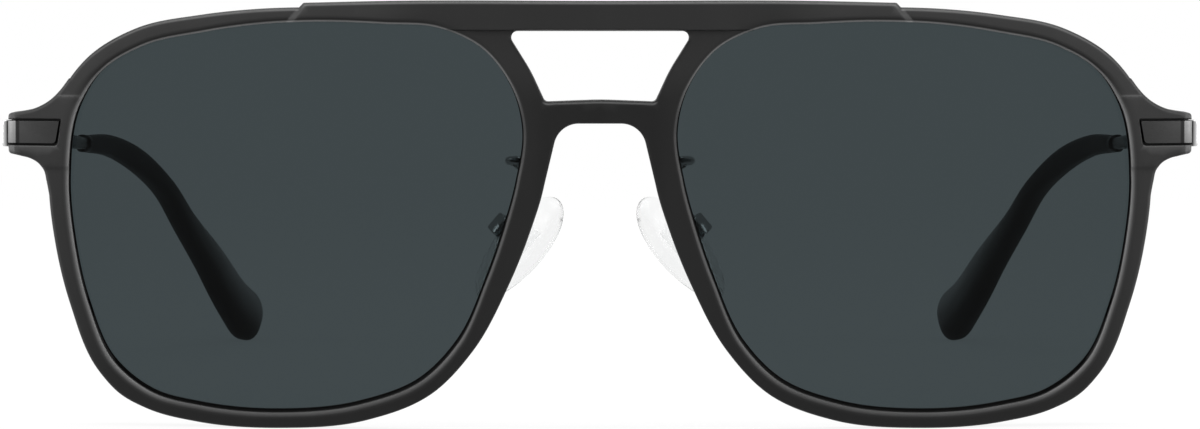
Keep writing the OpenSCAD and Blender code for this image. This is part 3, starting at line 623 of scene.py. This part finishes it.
def front_mesh():
    """Flat triangulation of the front's right half, over which both faces are heights.

    It is bounded by the outline, the lens opening and the opening over the bridge, and has lines
    where a rounded edge, a chamfer, a step or a crease needs them.
    """
    parts = {name: single(line) for name, line in front_outline().items()}
    outer = np.vstack([parts["top"], parts["notch"], parts["below"]])
    outer = outer[np.linalg.norm(outer - np.roll(outer, 1, 0), axis=1) > 1e-4]
    hole, slot, floor = (single(v) for v in (half_opening(), slot_line(0), slot_line(-FLOOR_STEP)))
    # Heights of the points on the middle line, over the bridge and over the brow bar
    bridge, brow = (np.stack([0 * z, z], 1) for z in (
        np.concatenate([BRIDGE_LOW + EDGE_STEPS, BRIDGE_LOW + np.linspace(0.9, 1.9, 3),
                        hole[0, 1] - HOLE_STEPS[::-1]]),
        np.concatenate([BROW_LOW + HOLE_STEPS, BROW_LOW + np.linspace(0.8, 2.4, 4),
                        BROW_TOP - EDGE_STEPS[::-1]])))
    region = single(np.vstack([outer, bridge, hole, brow]))
    extra, links = [region, lens_edge], []
    count = len(region) + len(lens_edge)

    def add(points, loop=False):
        """Points joined by edges that the triangulation keeps."""
        nonlocal count
        i = count + np.arange(len(points))
        pairs = np.stack([i, np.roll(i, -1)], 1)
        links.append(pairs if loop else pairs[:-1])
        extra.append(points)
        count += len(points)

    def within(points):
        """True for points in the region and outside the lens."""
        return inside(points, region) & ~inside(points, lens_edge)

    def kept(points, least=0.03):
        """Adds the stretches of a line that lie in the region, at least so far from its edges."""
        ok = within(points) & (near(points, region)[0] > least)
        ok &= near(points, lens_edge)[0] > least
        cut = np.flatnonzero(np.diff(ok.astype(int))) + 1
        for run in np.split(np.arange(len(points)), cut):
            if ok[run[0]] and len(run) > 1:
                add(points[run])

    def scored(a, b, step=0.2):
        """A straight line from a to b with points about a step apart, kept where it lies inside."""
        kept(np.linspace(a, b, max(2, int(math.dist(a, b) / step) + 1)))

    for d in EDGE_STEPS:
        for line in (parts["top"], parts["below"]):
            kept(line - side_of(line) * d)
    for place in RIM_PLACES[1:]:
        kept(lens_offset(place))
    for d in HOLE_STEPS:
        kept(hole - side_of(hole) * d)
    add(slot)
    add(floor)
    for d in (0.05, 0.12, 0.2):
        kept(slot - side_of(slot) * d)
    for x in END_X - np.array([0.03, 0.12, 0.27, 0.46, 0.66, 0.85, 1.0]):
        scored([x, END_LOW - 2], [x, END_TOP + 2])
    # Brow bar: its lower step, and the slanted ramp at its end
    for z in BROW_LOW + np.array([-0.06, 0, 0.08, 0.16, 0.24]):
        scored([0.2, z], [BROW_HALF + BROW_SLANT, z], 0.35)
    for s in (-0.06, 0, 0.3, 0.6, 0.85, 0.95):
        scored([BROW_HALF + BROW_SLANT * 1.3 - s, BROW_TOP - BROW_END_H * 1.3],
               [BROW_HALF - BROW_SLANT * 0.4 - s, BROW_TOP + BROW_END_H * 0.4])
    for off in np.array([-1, -1 / 3, 1 / 3, 1]) * CREASE_SOFT:
        for z in (CREASE_UP, CREASE_LOW):
            scored([RIM_X - 6, z + off], [RIM_X + 3, z + off])
    for x in BRIDGE_HALF - np.array([0, 0.3, 0.6, 0.9, 1.2]):
        scored([x, BRIDGE_LOW - 3], [x, BRIDGE_TOP + 1.2], 0.35)
    for x in SCREW_X:
        for r in (HEAD_R + 0.02, HEAD_R - 0.02):
            add(circle(turns(32)) * r + [x, HINGE_Z], True)

    fixed = np.vstack(extra)
    step = 0.7
    gx, gz = np.meshgrid(np.arange(0.35, END_X, step), np.arange(0, BROW_TOP, step), indexing="ij")
    gx += (np.arange(gz.shape[1]) % 2) * step / 2
    grid = np.stack([gx.ravel(), gz.ravel()], 1)
    grid = grid[within(grid)]
    gap = [np.linalg.norm(run[:, None] - fixed, axis=2).min(1) for run in chunks(grid)]
    flat = np.vstack([fixed, grid[np.concatenate(gap) > 0.6 * step]])

    m, n = len(region), len(lens_edge)
    faces = [list(range(m))[::-1], list(range(m, m + n))[::-1]]
    out = delaunay_2d_cdt([tuple(p) for p in flat.tolist()],
                          [tuple(e) for e in np.vstack(links).tolist()], faces, 1, 1e-5)
    flat = np.array([tuple(v) for v in out[0]], float)
    tris = np.array([f for f, o in zip(out[2], out[5]) if len(o) == 1 and o[0] == 0], int)
    return flat, tris, parts, hole, slot


# Heights of the end piece's soft creases
CREASE_UP, CREASE_LOW, CREASE_SOFT = 40.1, 31.35, 0.3
# Round a lens: places across (0 to 1 over the gap, 1 to 2 over the chamfer, more beyond it), then the
# # depth and the shares of painted highlight on the chamfer and of painted shade in the gap there.
# # Beside and under a lens a bead lies next to it, then a narrow gap, its wall, and a chamfer up to the
# # rim's face.  Above it the gap closes, the chamfer lies in a soft hollow, the bead gets a painted
# # highlight, and a band of painted shade lies beyond the chamfer.
RIM_PLACES = [0, 0.4, 0.5, 0.85, 1, 1.12, 1.45, 1.75, 2, 2.5, 3.2, 4.5]
SIDE_PROFILE = [[0.72, 0.86, 0.88, 0.88, 0.32, 0.27, 0.14, 0.03, 0, 0, 0, 0],
                [0, 0, 0, 0, 0.6, 1, 0.6, 0.3, 0.1, 0, 0, 0],
                [0.15, 0.8, 1, 1, 0.4, 0, 0, 0, 0.15, 0.25, 0.1, 0]]
HIGH_PROFILE = [[0.34, 0.34, 0.34, 0.34, 0.33, 0.32, 0.28, 0.22, 0.16, 0.12, 0.07, 0],
                [0.3, 0.3, 0.3, 0.4, 0.4, 0.45, 0.45, 0.3, 0, 0, 0, 0],
                [0.1, 0.1, 0.1, 0, 0, 0, 0, 0, 0.6, 1, 0.6, 0]]


def round_lens(n):
    """Widths of gap and chamfer for outward normals n, and how far they face up and down.

    The gap is 0.2 mm wide at the sides and 0.46 below, the chamfer 0.5 and 0.6, less at the nose.
    Above a lens the gap closes to 0.04 mm and the chamfer narrows to 0.22.
    """
    low = ease((-n[:, 1] - 0.05) / 0.75)
    nose = ease(-n[:, 0] / 0.7) * (1 - low)
    high = ease((n[:, 1] - 0.05 - 0.2 * np.maximum(n[:, 0], 0)) / 0.6)
    gap = (0.2 + 0.26 * low - 0.03 * nose) * (1 - high) + 0.04 * high
    return gap, (0.5 + 0.1 * low - 0.12 * nose) * (1 - high) + 0.22 * high, high, low


def over_rim(d, n):
    """Depth and the shares of painted chamfer highlight and painted shade at a distance d from a lens,
    with normals n.
    """
    gap, band, high, low = round_lens(n)
    place = np.where(d < gap, d / gap, 1 + (d - gap) / band)
    rows = [np.interp(place, RIM_PLACES, a) * (1 - high) + np.interp(place, RIM_PLACES, b) * high
            for a, b in zip(SIDE_PROFILE, HIGH_PROFILE)]
    return *rows, high, low


def lens_offset(place):
    """The closed lens outline moved out to this place across the gap and chamfer round it."""
    gap, band, _, _ = round_lens(outward(lens_edge))
    line = grown(lens_edge, np.where(place < 1, place * gap, gap + (place - 1) * band)[:, None])
    return np.vstack([line, line[:1]])


# Where the plate's two screws come out at the back
SCREW_X = (END_X - np.array([2.2, 4.4]) * math.cos(END_TURN)
           - (END_DEPTH + END_PROUD) * math.sin(END_TURN))


def drop(d, r):
    """How far a rounded edge of radius r has fallen at a distance d in from it."""
    w = np.clip(r - d, 0, r)
    return r - np.sqrt(np.maximum(r * r - w * w, 0))


def beside(x):
    """0 over the lens, and 1 beside it on the end piece."""
    return ease((x - RIM_X + 5) / 2)


def tones(p, edges, out_n, rim, d_slot, in_slot):
    """Shares of wear, painted highlight, painted shade and painted light on the front face.

    Edges that face up hold a painted highlight line 0.27 mm in, with a painted dark line outside it,
    and edges that face down get painted shade.  The faces are painted paler above the lenses and
    beside the temples, as if lit from there.
    """
    x, z = p.T
    _, trim, gap, high, low = rim
    nose = ease(-out_n[:, 0] / 0.5) * (1 - low)
    # Painted highlight: the chamfer is made lighter on the temple side of the lens and below it, as if
    # lit from there
    lit = 0.2 + 0.17 * low + 0.75 * ease(out_n[:, 0]) - 0.1 * nose
    trim = trim * (lit + (1 - lit) * high)
    gap = gap * (1 - 0.7 * nose)
    d, up = edges[0][0], edges[0][1][:, 1]
    for other, n in edges[1:]:
        d, up = np.minimum(d, other), np.where(other < d, n[:, 1], up)
    # Painted highlight: a light line along edges that face up, and one along the upper crease
    line = bell((d - 0.27) / 0.1) * ease((up - 0.6) / 0.4)
    line *= 1 - 0.8 * ease((x - RIM_X + 2) / 2)
    at_end = beside(x) * (z > BROW_LOW - 8)
    line = np.maximum(line, 0.34 * at_end * bell((z - CREASE_UP - 0.1) / 0.1))
    # Painted highlights under the slot's lower lip and at the prongs' tips
    lip = bell((d_slot - 0.12) / 0.09) * (z < GAP_LOW) * (x > PLATE_X) * ~in_slot
    tip = 0.45 * ease((x - END_X + 1.15) / 0.35) * ease((END_TOP + 0.3 - z) / 0.3)
    tip *= ease((z - END_LOW + 0.5) / 0.3)
    trim = np.maximum.reduce([trim, 0.65 * line, 0.35 * lip, 0.8 * tip])
    # Painted shade: a dark line outside the lit edges, edges that face down, and shadows at both creases
    dark = bell(d / 0.26) * ease((up - 0.1) / 0.3) * (1 - 0.45 * ease((up - 0.85) / 0.1))
    dark = np.maximum.reduce([dark, 0.8 * ease(1 - d / 0.5) * ease((-up - 0.15) / 0.4),
                              0.4 * at_end * bell((z - CREASE_UP + 0.15) / 0.12),
                              0.4 * beside(x) * bell((z - CREASE_LOW) / 0.3)])
    # Painted light: paler on faces that turn up beside the temples, darker below the lenses, at the nose
    # and by the bridge
    painted_light_and_wear = 0.44 + 0.4 * ease((x - 20) / 10) * ease((out_n[:, 1] + 0.1) / 0.7) - 0.3 * low
    painted_light_and_wear -= 0.26 * nose * ease((BROW_LOW - 4 - z) / 5)
    painted_light_and_wear -= 0.1 * ease((9 - x) / 3) * ease(BRIDGE_TOP + 1 - z)
    # The slot is painted wholly dark, as shade
    return np.stack([np.exp(-np.minimum(d, d_slot) / 0.25), trim,
                     np.where(in_slot, 1, np.maximum(gap, dark)), painted_light_and_wear], 1)


def depths(p, lines, front=True):
    """Flat points brought to the front face or, with front False, to the back, and their marks.

    Front depth = sphere standing proud at the brow bar and the end piece, less the rounding
    r - sqrt(r2 - (r - d)2) at a distance d from an edge, less the chamfer round the lens, with an
    arc where the end piece turns back and a floor in the slot.  Back depth = the inner sphere with
    its own roundings.  lines are the outline over and under the slot, the opening and the slot.
    """
    x, z = p.T
    edges = [near(p, line, False) for line in lines[:3]]
    d_out, d_hole = np.minimum(edges[0][0], edges[1][0]), edges[2][0]
    d_lens, out_n = near(p, lens_edge)
    d_slot = near(p, lines[3])[0]
    in_slot = inside(p, lines[3])
    if front:
        slant = (BROW_HALF + BROW_SLANT - x) * BROW_END_H - (z - BROW_TOP + BROW_END_H) * BROW_SLANT
        slant /= math.hypot(BROW_END_H, BROW_SLANT)
        brow = np.clip(slant / 0.8, 0, 1) * ease((z - BROW_LOW) / 0.2)
        block = beside(x) * ease((CREASE_UP - z) / (2 * CREASE_SOFT) + 0.5)
        block *= ease((z - CREASE_LOW) / (2 * CREASE_SOFT) + 0.5)
        proud = np.maximum(BROW_PROUD * brow, END_PROUD * block)
        fall = np.maximum.reduce([drop(d_out, EDGE_ROUND), drop(d_hole, HOLE_ROUND),
                                  np.where(in_slot, 0, drop(d_slot, SLOT_ROUND))])
        rim = over_rim(d_lens, out_n)
        fall += rim[0]
        fall += BRIDGE_IN * ease((BRIDGE_HALF - x) / 1.2) * ease((BRIDGE_TOP + 1.2 - z) / 0.6)
        y = ball_y(x, z, proud - fall)
        y_c = END_Y + CORNER_R / math.tan(math.pi / 4 + END_TURN / 2)
        over = np.maximum(x - END_X + CORNER_R, 0)
        bend = y_c - np.sqrt(np.maximum(CORNER_R**2 - over**2, 0))
        tangent = END_X - CORNER_R + CORNER_R * math.sin(END_TURN)
        y = np.where(x > tangent, np.maximum(y, bend + fall), y)
        bottom = END_Y + (x - END_X) * math.tan(END_TURN) + (PLATE_T + SEAT) / math.cos(END_TURN)
        y = np.where(in_slot & (d_slot > 0.015), bottom, y)
        return lifted(p, y), tones(p, edges, out_n, rim, d_slot, in_slot)
    p = p + out_n * (BACK_EASE * np.clip(1 - d_lens / LENS_SOFT, 0, 1))[:, None]
    x, z = p.T
    thick = ease((END_TOP + 5.7 - z) / 3.5) * ease((z - END_LOW + 6.4) / 1.5)
    thick *= ease((x - RIM_X + 4.6) / 1.6)
    d_edge = np.minimum.reduce([d_out, END_X - x, d_hole])
    fall = np.maximum(drop(d_edge, BACK_ROUND), drop(d_lens, GROOVE_ROUND))
    y = ball_y(x, z, -RIM_DEPTH - (END_DEPTH - RIM_DEPTH) * thick + fall)
    for cx in SCREW_X:
        y = np.where(np.hypot(x - cx, z - HINGE_Z) < HEAD_R, y - HEAD_DEEP, y)
    edge = np.exp(-np.minimum(d_edge, d_slot) / 0.25)
    return lifted(p, y), edge[:, None] * [0.5, 0, 0, 0] + [0, 0, 0, 0.4]


def build_front(look):
    """The front: its triangulation lifted to both faces, joined by walls, and mirrored."""
    flat, tris, parts, hole, slot = front_mesh()
    slot = np.vstack([slot, [[END_X + 2, GAP_LOW], [END_X + 2, GAP_TOP]]])
    lines = [parts["top"], parts["below"], hole, slot]

    front, front_marks = depths(flat, lines)
    back, back_marks = depths(flat, lines, False)
    shells = [(front, tris.tolist()), (back, tris[:, ::-1].tolist())]
    marks = [front_marks, back_marks]

    def join(rings, loop):
        """Adds strips between rings, with the marks of a plain wall."""
        shells.append(strips(rings, loop))
        marks.append(np.tile([0, 0, 0, 0.3], (len(shells[-1][0]), 1)))

    for line in (np.vstack([parts["top"], parts["notch"], parts["below"]]), hole):
        a, b = depths(line, lines)[0], depths(line, lines, False)[0]
        join(a + (b - a) * np.linspace(0, 1, 5)[:, None, None], False)
    # The lens wall: the lip, the groove's front side, floor and back side, and the eased edge
    groove = LIP_T + LENS_T + 2 * SEAT
    inner = [on_ball(grown(lens_edge, off), -deep) for off, deep in (
        (0, LIP_T), (LENS_BITE, LIP_T), (LENS_BITE, groove), (BACK_EASE, groove))]
    a, b = depths(lens_edge, lines)[0], depths(lens_edge, lines, False)[0]
    join(np.stack([a, *inner, b]), True)
    shells += [(points * [-1, 1, 1], [f[::-1] for f in faces]) for points, faces in shells]
    shares = np.concatenate(marks + marks).T
    make("front", shells, "front", ["front_frame"], "front_black", look, sharp=38,
         marks=dict(zip(("edge", "trim", "gap", "painted_light_and_wear"), shares)))


# Lenses, temples and pads
def lens_shell():
    """Two spheres' faces over the lens outline shrunk towards its middle, joined at the edge."""
    edge = grown(lens_line, LENS_BITE - SEAT)
    middle = np.array([LENS_X, LENS_Z])
    share = np.sin(np.linspace(0, np.pi / 2, 28))[1:]
    flat = middle + (edge - middle)[None] * share[:, None, None]
    behind = on_ball(flat, -LIP_T - LENS_T - SEAT)
    return skin(np.concatenate([on_ball(flat, -LIP_T - SEAT), behind[::-1]]))


def knuckle_shell():
    """The temple's barrel with its flat web: a plan outline of arc and web, round the bore.

    Rings run up the outside, in over the top, down the bore and back, with chamfers c wide.
    """
    start = math.asin(KNUCKLE_GAP / KNUCKLE_R)
    turn = np.linspace(math.pi / 2, 2 * math.pi + start, 44)
    arc = circle(turn) * KNUCKLE_R
    reach = TEMPLE_X - HINGE_X
    ends = [arc[-1], [reach, KNUCKLE_GAP], [reach, KNUCKLE_R], arc[0]]
    web = np.vstack([np.linspace(a, b, 6)[1:] for a, b in zip(ends, ends[1:])])[:-1]
    outer = np.vstack([arc, web])
    angle = np.concatenate([turn, np.linspace(turn[-1], 2.5 * math.pi, len(web) + 2)[1:-1]])
    bore = circle(angle) * (PIN_D / 2 + PIN_GAP)
    c = 0.08
    trim = grown(outer, c)
    wide = bore * (1 + c / (PIN_D / 2 + PIN_GAP))
    half = KNUCKLE_H / 6 - KNUCKLE_GAP / 2
    stack = [(outer, c - half), (outer, half - c), (trim, half), (wide, half), (bore, half - c),
             (bore, c - half), (wide, -half), (trim, -half)]
    rings = np.stack([np.insert(p, 2, z, 1) for p, z in stack])
    return skin(rings + [HINGE_X, HINGE_Y, HINGE_Z], True)


TEMPLE_X = END_X + TEMPLE_PROUD - TEMPLE_T / 2
TEMPLE_Z = HINGE_Z - TEMPLE_LOW
SOCK_X, SOCK_Y = TEMPLE_X - TEMPLE_LEAN, HINGE_Y + TEMPLE_RUN
SOCK_Z = TEMPLE_Z - TEMPLE_RUN * math.tan(math.radians(TEMPLE_SLOPE))
TIP_FLOOR, SOCK_POWER = 3.06, 2.5
CORE_T, CORE_POWER, CORE_LAST = 1.2, 4.0, 0.76
TIP_END, TIP_SOFT, TIP_AHEAD, TIP_TILT = 0.95, 0.5, 4.0, 1.3
TIP_SIDES, LED_RINGS, TIP_LAST = 56, 5, 7
# The tip's path as shares of its run back, in and down, and of its growth in thickness and height
tip_rows = np.array([
    [0, 0, 0, 0, 0], [0.16, 0.12, 0.02, 0.1, 0.08], [0.35, 0.305, 0.12, 0.25, 0.15],
    [0.5, 0.458, 0.265, 0.5, 0.1], [0.64, 0.582, 0.455, 0.49, 0.21],
    [0.79, 0.738, 0.666, 0.56, 0.425], [0.91, 0.901, 0.89, 0.73, 0.59], [1, 1, 1, 0.9, 0.8]])
tip_rows = [SOCK_X, SOCK_Y, SOCK_Z, SOCK_T, SOCK_H] + tip_rows[:, [1, 0, 2, 3, 4]] * [
    -TIP_IN, TIP_RUN, TIP_FLOOR - SOCK_Z, PADDLE_T - SOCK_T, PADDLE_H - SOCK_H]


def sleeve_rings(path, w, h, power):
    """Rings on the path and on a straight start, TIP_AHEAD long on the temple's line, before it.

    Near the tip's mouth they are pushed back by the cosine squared round the ring.
    """
    bar = unit(np.array([TEMPLE_X - SOCK_X, HINGE_Y - SOCK_Y, TEMPLE_Z - SOCK_Z]))
    path = np.vstack([path[0] + bar * np.linspace(TIP_AHEAD, 0, LED_RINGS + 1)[:-1, None], path])
    rings, way = rings_on(path, w, h, power, TIP_SIDES)
    away = np.linalg.norm(path - path[0], axis=1)
    push = SOCK_NOTCH * np.maximum(0, 1 - away / (2.5 * SOCK_NOTCH + 0.1))
    around = np.cos(turns(TIP_SIDES)) ** 2
    return rings + way[:, None] * (push[:, None] * around)[..., None], way


def tip_shell():
    """Sleeve: an oval sweep on the tip's path, blunt at the paddle, with the bore of the core.

    Its last stretch closes as the fifth root of 1 - (0.93 u)5, then as a flat round of cosines.
    Its path and size are the columns of tip_rows.  The end leans by a cosine round the ring.
    """
    last = TIP_LAST - 1
    t = np.concatenate([np.linspace(0, last, 84), np.linspace(last, last + TIP_END, 15)[1:]])
    rows = along(tip_rows, t)
    close = (1 - (0.93 * np.clip(t - last, 0, 1)) ** 5) ** 0.2
    turn = np.linspace(0, np.pi / 2, 8)[1:]
    ahead = unit(rows[-1, :3] - rows[-2, :3]) * TIP_SOFT * np.sin(turn)[:, None]
    path = np.vstack([rows[:, :3], rows[-1, :3] + ahead])
    flat_end = close[-1] * np.maximum(np.cos(turn), 0.02) ** 0.4
    close = np.concatenate([np.ones(LED_RINGS), close, flat_end])
    size = np.pad(rows[:, 3:], ((LED_RINGS, len(turn)), (0, 0)), "edge") * close[:, None]
    outer, way = sleeve_rings(path, size[:, 0], size[:, 1], SOCK_POWER)
    late = ease(np.concatenate([np.zeros(LED_RINGS), t, np.full(len(turn), TIP_LAST)]) / 1.4 - 4)
    turn = turns(TIP_SIDES)
    outer = outer - way[:, None] * (TIP_TILT * late[:, None] * np.cos(turn))[..., None]
    core = along(tip_rows, np.linspace(0, TIP_LAST * CORE_LAST, 60))[:, :3]
    bore, _ = sleeve_rings(core, CORE_T + 2 * SEAT, TEMPLE_END_H + 2 * SEAT, CORE_POWER)
    # Painted sheen: a light streak on one side of the paddle, growing along the tip
    painted_sheen = np.maximum(0, np.cos(turn - np.radians(140))) ** 4
    painted_sheen = painted_sheen * ease((np.arange(len(outer)) - 45) / 40)[:, None]
    painted_sheen = np.concatenate([np.zeros((len(bore), TIP_SIDES)), painted_sheen])
    return [skin(np.concatenate([bore[::-1], outer]))], {"painted_sheen": painted_sheen}


def temple_shells():
    """Bar that thins to the core, its cross-section a squarish oval, and the middle knuckle."""
    k = np.concatenate([[0] * 5, [0.0008, 0.002, 0.004, 0.007], np.linspace(0.02, 1, 30)[:-1]])
    start = np.array([TEMPLE_X, HINGE_Y + KNUCKLE_GAP, TEMPLE_Z])
    end = np.array([SOCK_X, SOCK_Y, SOCK_Z])
    bar = start + (end - start) * k[:, None]
    core = along(tip_rows, np.linspace(0, TIP_LAST * CORE_LAST - 0.05, 48))[:, :3]
    path = np.vstack([bar, core])
    size = np.concatenate([k, np.ones(len(core))])
    soft = np.ones(len(path))
    soft[:8] = [0.02, 0.3, 0.55, 0.66, 0.72, 0.84, 0.93, 0.98]
    tall = 1 - (1 - soft) * TEMPLE_T / TEMPLE_H
    tall[0] = 0.02
    rings, _ = rings_on(path, (TEMPLE_T + (CORE_T - TEMPLE_T) * size) * soft,
                        (TEMPLE_H + (TEMPLE_END_H - TEMPLE_H) * size) * tall,
                        CORE_POWER * (2 - size), 48, square=9)
    knuckle = knuckle_shell()
    at = np.arange(len(path))
    # Painted highlight along the outer corner of the bar's first rings, and painted shade in the middle
    # of its end
    outer = np.clip(rings[..., 0] - path[:, :1], 0, 0.4) / 0.4
    painted_highlight = outer * np.interp(at, [0, 1, 8, 10], [0, 1, 1, 0.2])[:, None]
    core = np.interp(at, [4, 6], [1, 0])[:, None] * (1 - outer)
    none = np.zeros(len(knuckle[0]))
    marks = {"painted_highlight": np.append(painted_highlight, none), "shade": np.append(core, none)}
    return [skin(rings), knuckle], marks


PAD_AT = np.array([PAD_OUT, PAD_BACK, LENS_Z - PAD_DOWN])
PAD_U = unit([0.644, 0.07, -0.762])
PAD_N = unit(np.cross([0.553, 0.75, 0.36], PAD_U))
PAD_W_DIR = np.cross(PAD_U, PAD_N)
# The pad's screw, this far up along the pad from its middle
PIN_U = -1.0
BOX_W, BOX_L, BOX_FRONT, BOX_BACK, BOX_WALL = 2.9, 2.5, -1.4, -4.2, 0.6


def pad_frame(p):
    """Points given across, down and out of the pad, brought to the part's layout."""
    return PAD_AT + p[..., :1] * PAD_W_DIR + p[..., 1:2] * PAD_U + p[..., 2:] * PAD_N


def pad_shell():
    """Egg-shaped pillow: outline cos a (1 - 0.09 d), d = -sin a, grown over its thickness."""
    rows = np.vstack([[[0.06, 0.05], [0.05, 0.4], [0.01, 0.72]], curve([
        [0, 0.86], [0.22, 0.97], [0.45, 1], [0.7, 0.93], [0.88, 0.74], [0.97, 0.45], [1, 0.15],
        [1.003, 0.02]], 5)])
    a = turns(72)
    d = -np.sin(a)
    s = rows[:, 1:]
    p = np.stack([np.cos(a) * (1 - 0.09 * d) * PAD_W / 2 * s, d * PAD_L / 2 * s,
                  np.broadcast_to(rows[:, :1] * PAD_T, (len(rows), 72))], -1)
    return skin(pad_frame(p))


def arm_shells():
    """Wire from the rim's back to the pad's box, its foot and flange, and the box as a channel."""
    foot_x, foot_z = LENS_GAP / 2 - 1.35, LENS_Z + 6.5
    back = float(ball_y(foot_x, foot_z, -RIM_DEPTH))
    top = pad_frame(np.array([0, PIN_U - BOX_L / 2 + 0.3, BOX_BACK + BOX_WALL]))
    path = curve(np.vstack([np.array([
        [0, 0.5, 0], [0.4, 1.4, 0.1], [1.9, 2, 0.15], [3, 3.3, 0.05], [2.2, 4.7, -0.35],
        [0.8, 5.5, -1.7], [0.7, 5.8, -3.9]]) + [foot_x, back, foot_z], top]), 12)
    wire, _ = rings_on(path, WIRE_D, WIRE_D, 2, 24, ref=(0.2, -1, 0))
    y = back + np.array([-1.6, 0.1, 0.1, 0.14, 0.22, 0.48, 0.56, 0.6, 0.72])
    r = np.array([0.5, 0.5, 0.9, 0.97, 1.0, 1.0, 0.97, 0.9, 0.52])
    a = turns(32)
    foot = np.stack([foot_x + r[:, None] * np.cos(a), np.broadcast_to(y[:, None], (9, 32)),
                     foot_z + r[:, None] * np.sin(a)], -1)
    w, t, deep = BOX_W / 2, BOX_W / 2 - BOX_WALL, BOX_BACK + BOX_WALL
    u = np.array([[-w, BOX_BACK], [w, BOX_BACK], [w, BOX_FRONT], [t, BOX_FRONT], [t, deep],
                  [-t, deep], [-t, BOX_FRONT], [-w, BOX_FRONT]])
    box = np.stack([np.insert(u, 1, PIN_U + k * BOX_L / 2, 1) for k in (-1, 1)])
    return [skin(wire), skin(foot)], [skin(pad_frame(box))]


# Making
black = moulded_black()
glass = tinted_lens()
temple_metal = satin_metal("temple_metal", 92, 0.34, 0.25, (1, 0.04, 1), painted_light_bar_end)
plate_metal = satin_metal("plate_metal", 58, 0.3, 0.2, (0.06, 1, 1), bent_plate)
screw_metal = satin_metal("screw_metal", 150, 0.28, 0.15, (1, 1, 1))
wire_metal = satin_metal("wire_metal", 170, 0.14, 0.2, (1, 1, 1))
sleeve = black_sleeve()
core_clear = clear_plastic("core_clear", 0.12, 1.12, 252)
pad_clear = clear_plastic("pad_clear", 0.15, 1.14, 246)

build_front(black)
bar, bar_marks = temple_shells()
tip, tip_marks = tip_shell()
wire, box = arm_shells()
for side in ("left", "right"):
    temple, pad = f"temple_{side}", f"pad_{side}"
    for kind, what, shells, body, slot, look, options in (
            ("lens", "glass", [lens_shell()], "front", "lens_tint", glass, {}),
            ("temple", "bar", bar, temple, "dark_metal", temple_metal, {"marks": bar_marks}),
            ("temple_tip", "sleeve", tip, temple, "tip_black", sleeve, {"sharp": 50, "marks": tip_marks}),
            ("nose_pad", "pillow", [pad_shell()], pad, "pad_clear", pad_clear, {"sharp": 60}),
            ("pad_arm", "wire", wire, "front", "wire_metal", wire_metal, {}),
            ("pad_arm", "box", box, "front", "wire_metal", wire_metal, {"bevel": 0.28})):
        make(f"{kind}_{side}_{what}", shells, body, [f"{kind}_{side}"], slot, look,
             mirror=side == "right", **options)
    for kind, what, body, slot, look, bevel in (
            ("hinge_plate", "bent", "front", "dark_metal", plate_metal, 0.08),
            ("plate_screws", "heads", "front", "screw_metal", screw_metal, 0.04),
            ("hinge_screw", "pin", "front", "screw_metal", screw_metal, 0.04),
            ("pad_screw", "pin", "front", "screw_metal", screw_metal, 0.04),
            ("pad_core", "plate", pad, "pad_core_clear", core_clear, 0.08)):
        from_node(f"{kind}_{side}_{what}", body, f"{kind}_{side}", look, bevel)


# Stage, light and camera
def floor_and_world():
    """A wide white floor that keeps the shadow, under an even white world of low strength."""
    mesh = bpy.data.meshes.new("floor")
    mesh.from_pydata([(-30, -30, 0), (30, -30, 0), (30, 30, 0), (-30, 30, 0)], [], [(0, 1, 2, 3)])
    floor = bpy.data.objects.new("floor", mesh)
    bpy.context.scene.collection.objects.link(floor)
    paper = Look("white_paper", Base_Color=(0.86, 0.86, 0.86, 1), Roughness=0.9, Specular_IOR_Level=0.1)
    far = paper.node("ShaderNodeVectorMath", {"operation": "LENGTH"}, {0: paper.place}, "Value")
    share = paper.node("ShaderNodeMapRange", {}, {0: far, 1: 0.15, 2: 0.6, 3: 0.9, 4: 1.0})
    paper.show_white("ShaderNodeEmission", share, "Material Output")
    mesh.materials.append(paper.material)
    studio = Look("studio", "worlds", "Background", Color=(1, 1, 1, 1), Strength=0.35)
    studio.show_white("ShaderNodeBackground", 1.0, "World Output")
    bpy.context.scene.world = studio.material


floor_and_world()
for name, at, size, power in (
        ("overhead", (0, 0, 0.95), (1.0, 0.5), 10.0),
        ("side_left", (-0.85, -0.15, 0.25), (0.5, 0.6), 6.0),
        ("side_right", (0.85, -0.15, 0.25), (0.5, 0.6), 6.0),
        ("fill", (0, -0.8, 0.85), (0.9, 0.4), 2.0)):
    light = bpy.data.lights.new(name, "AREA")
    light.shape, light.energy = "RECTANGLE", power
    light.size, light.size_y = size
    lamp = bpy.data.objects.new(name, light)
    lamp.location = at
    lamp.rotation_euler = (Vector((0, 0, 0.025)) - Vector(at)).to_track_quat("-Z", "Y").to_euler()
    bpy.context.scene.collection.objects.link(lamp)

camera = bpy.data.objects.new("camera", bpy.data.cameras.new("camera"))
camera.data.sensor_width, camera.data.lens = 36, 150
camera.data.clip_start, camera.data.clip_end = 0.01, 100
camera.location = (0, -0.67264, 0.05763)
camera.rotation_euler = (math.radians(87), 0, 0)
bpy.context.scene.collection.objects.link(camera)
bpy.context.scene.camera = camera
bpy.context.scene.view_settings.view_transform = "Standard"
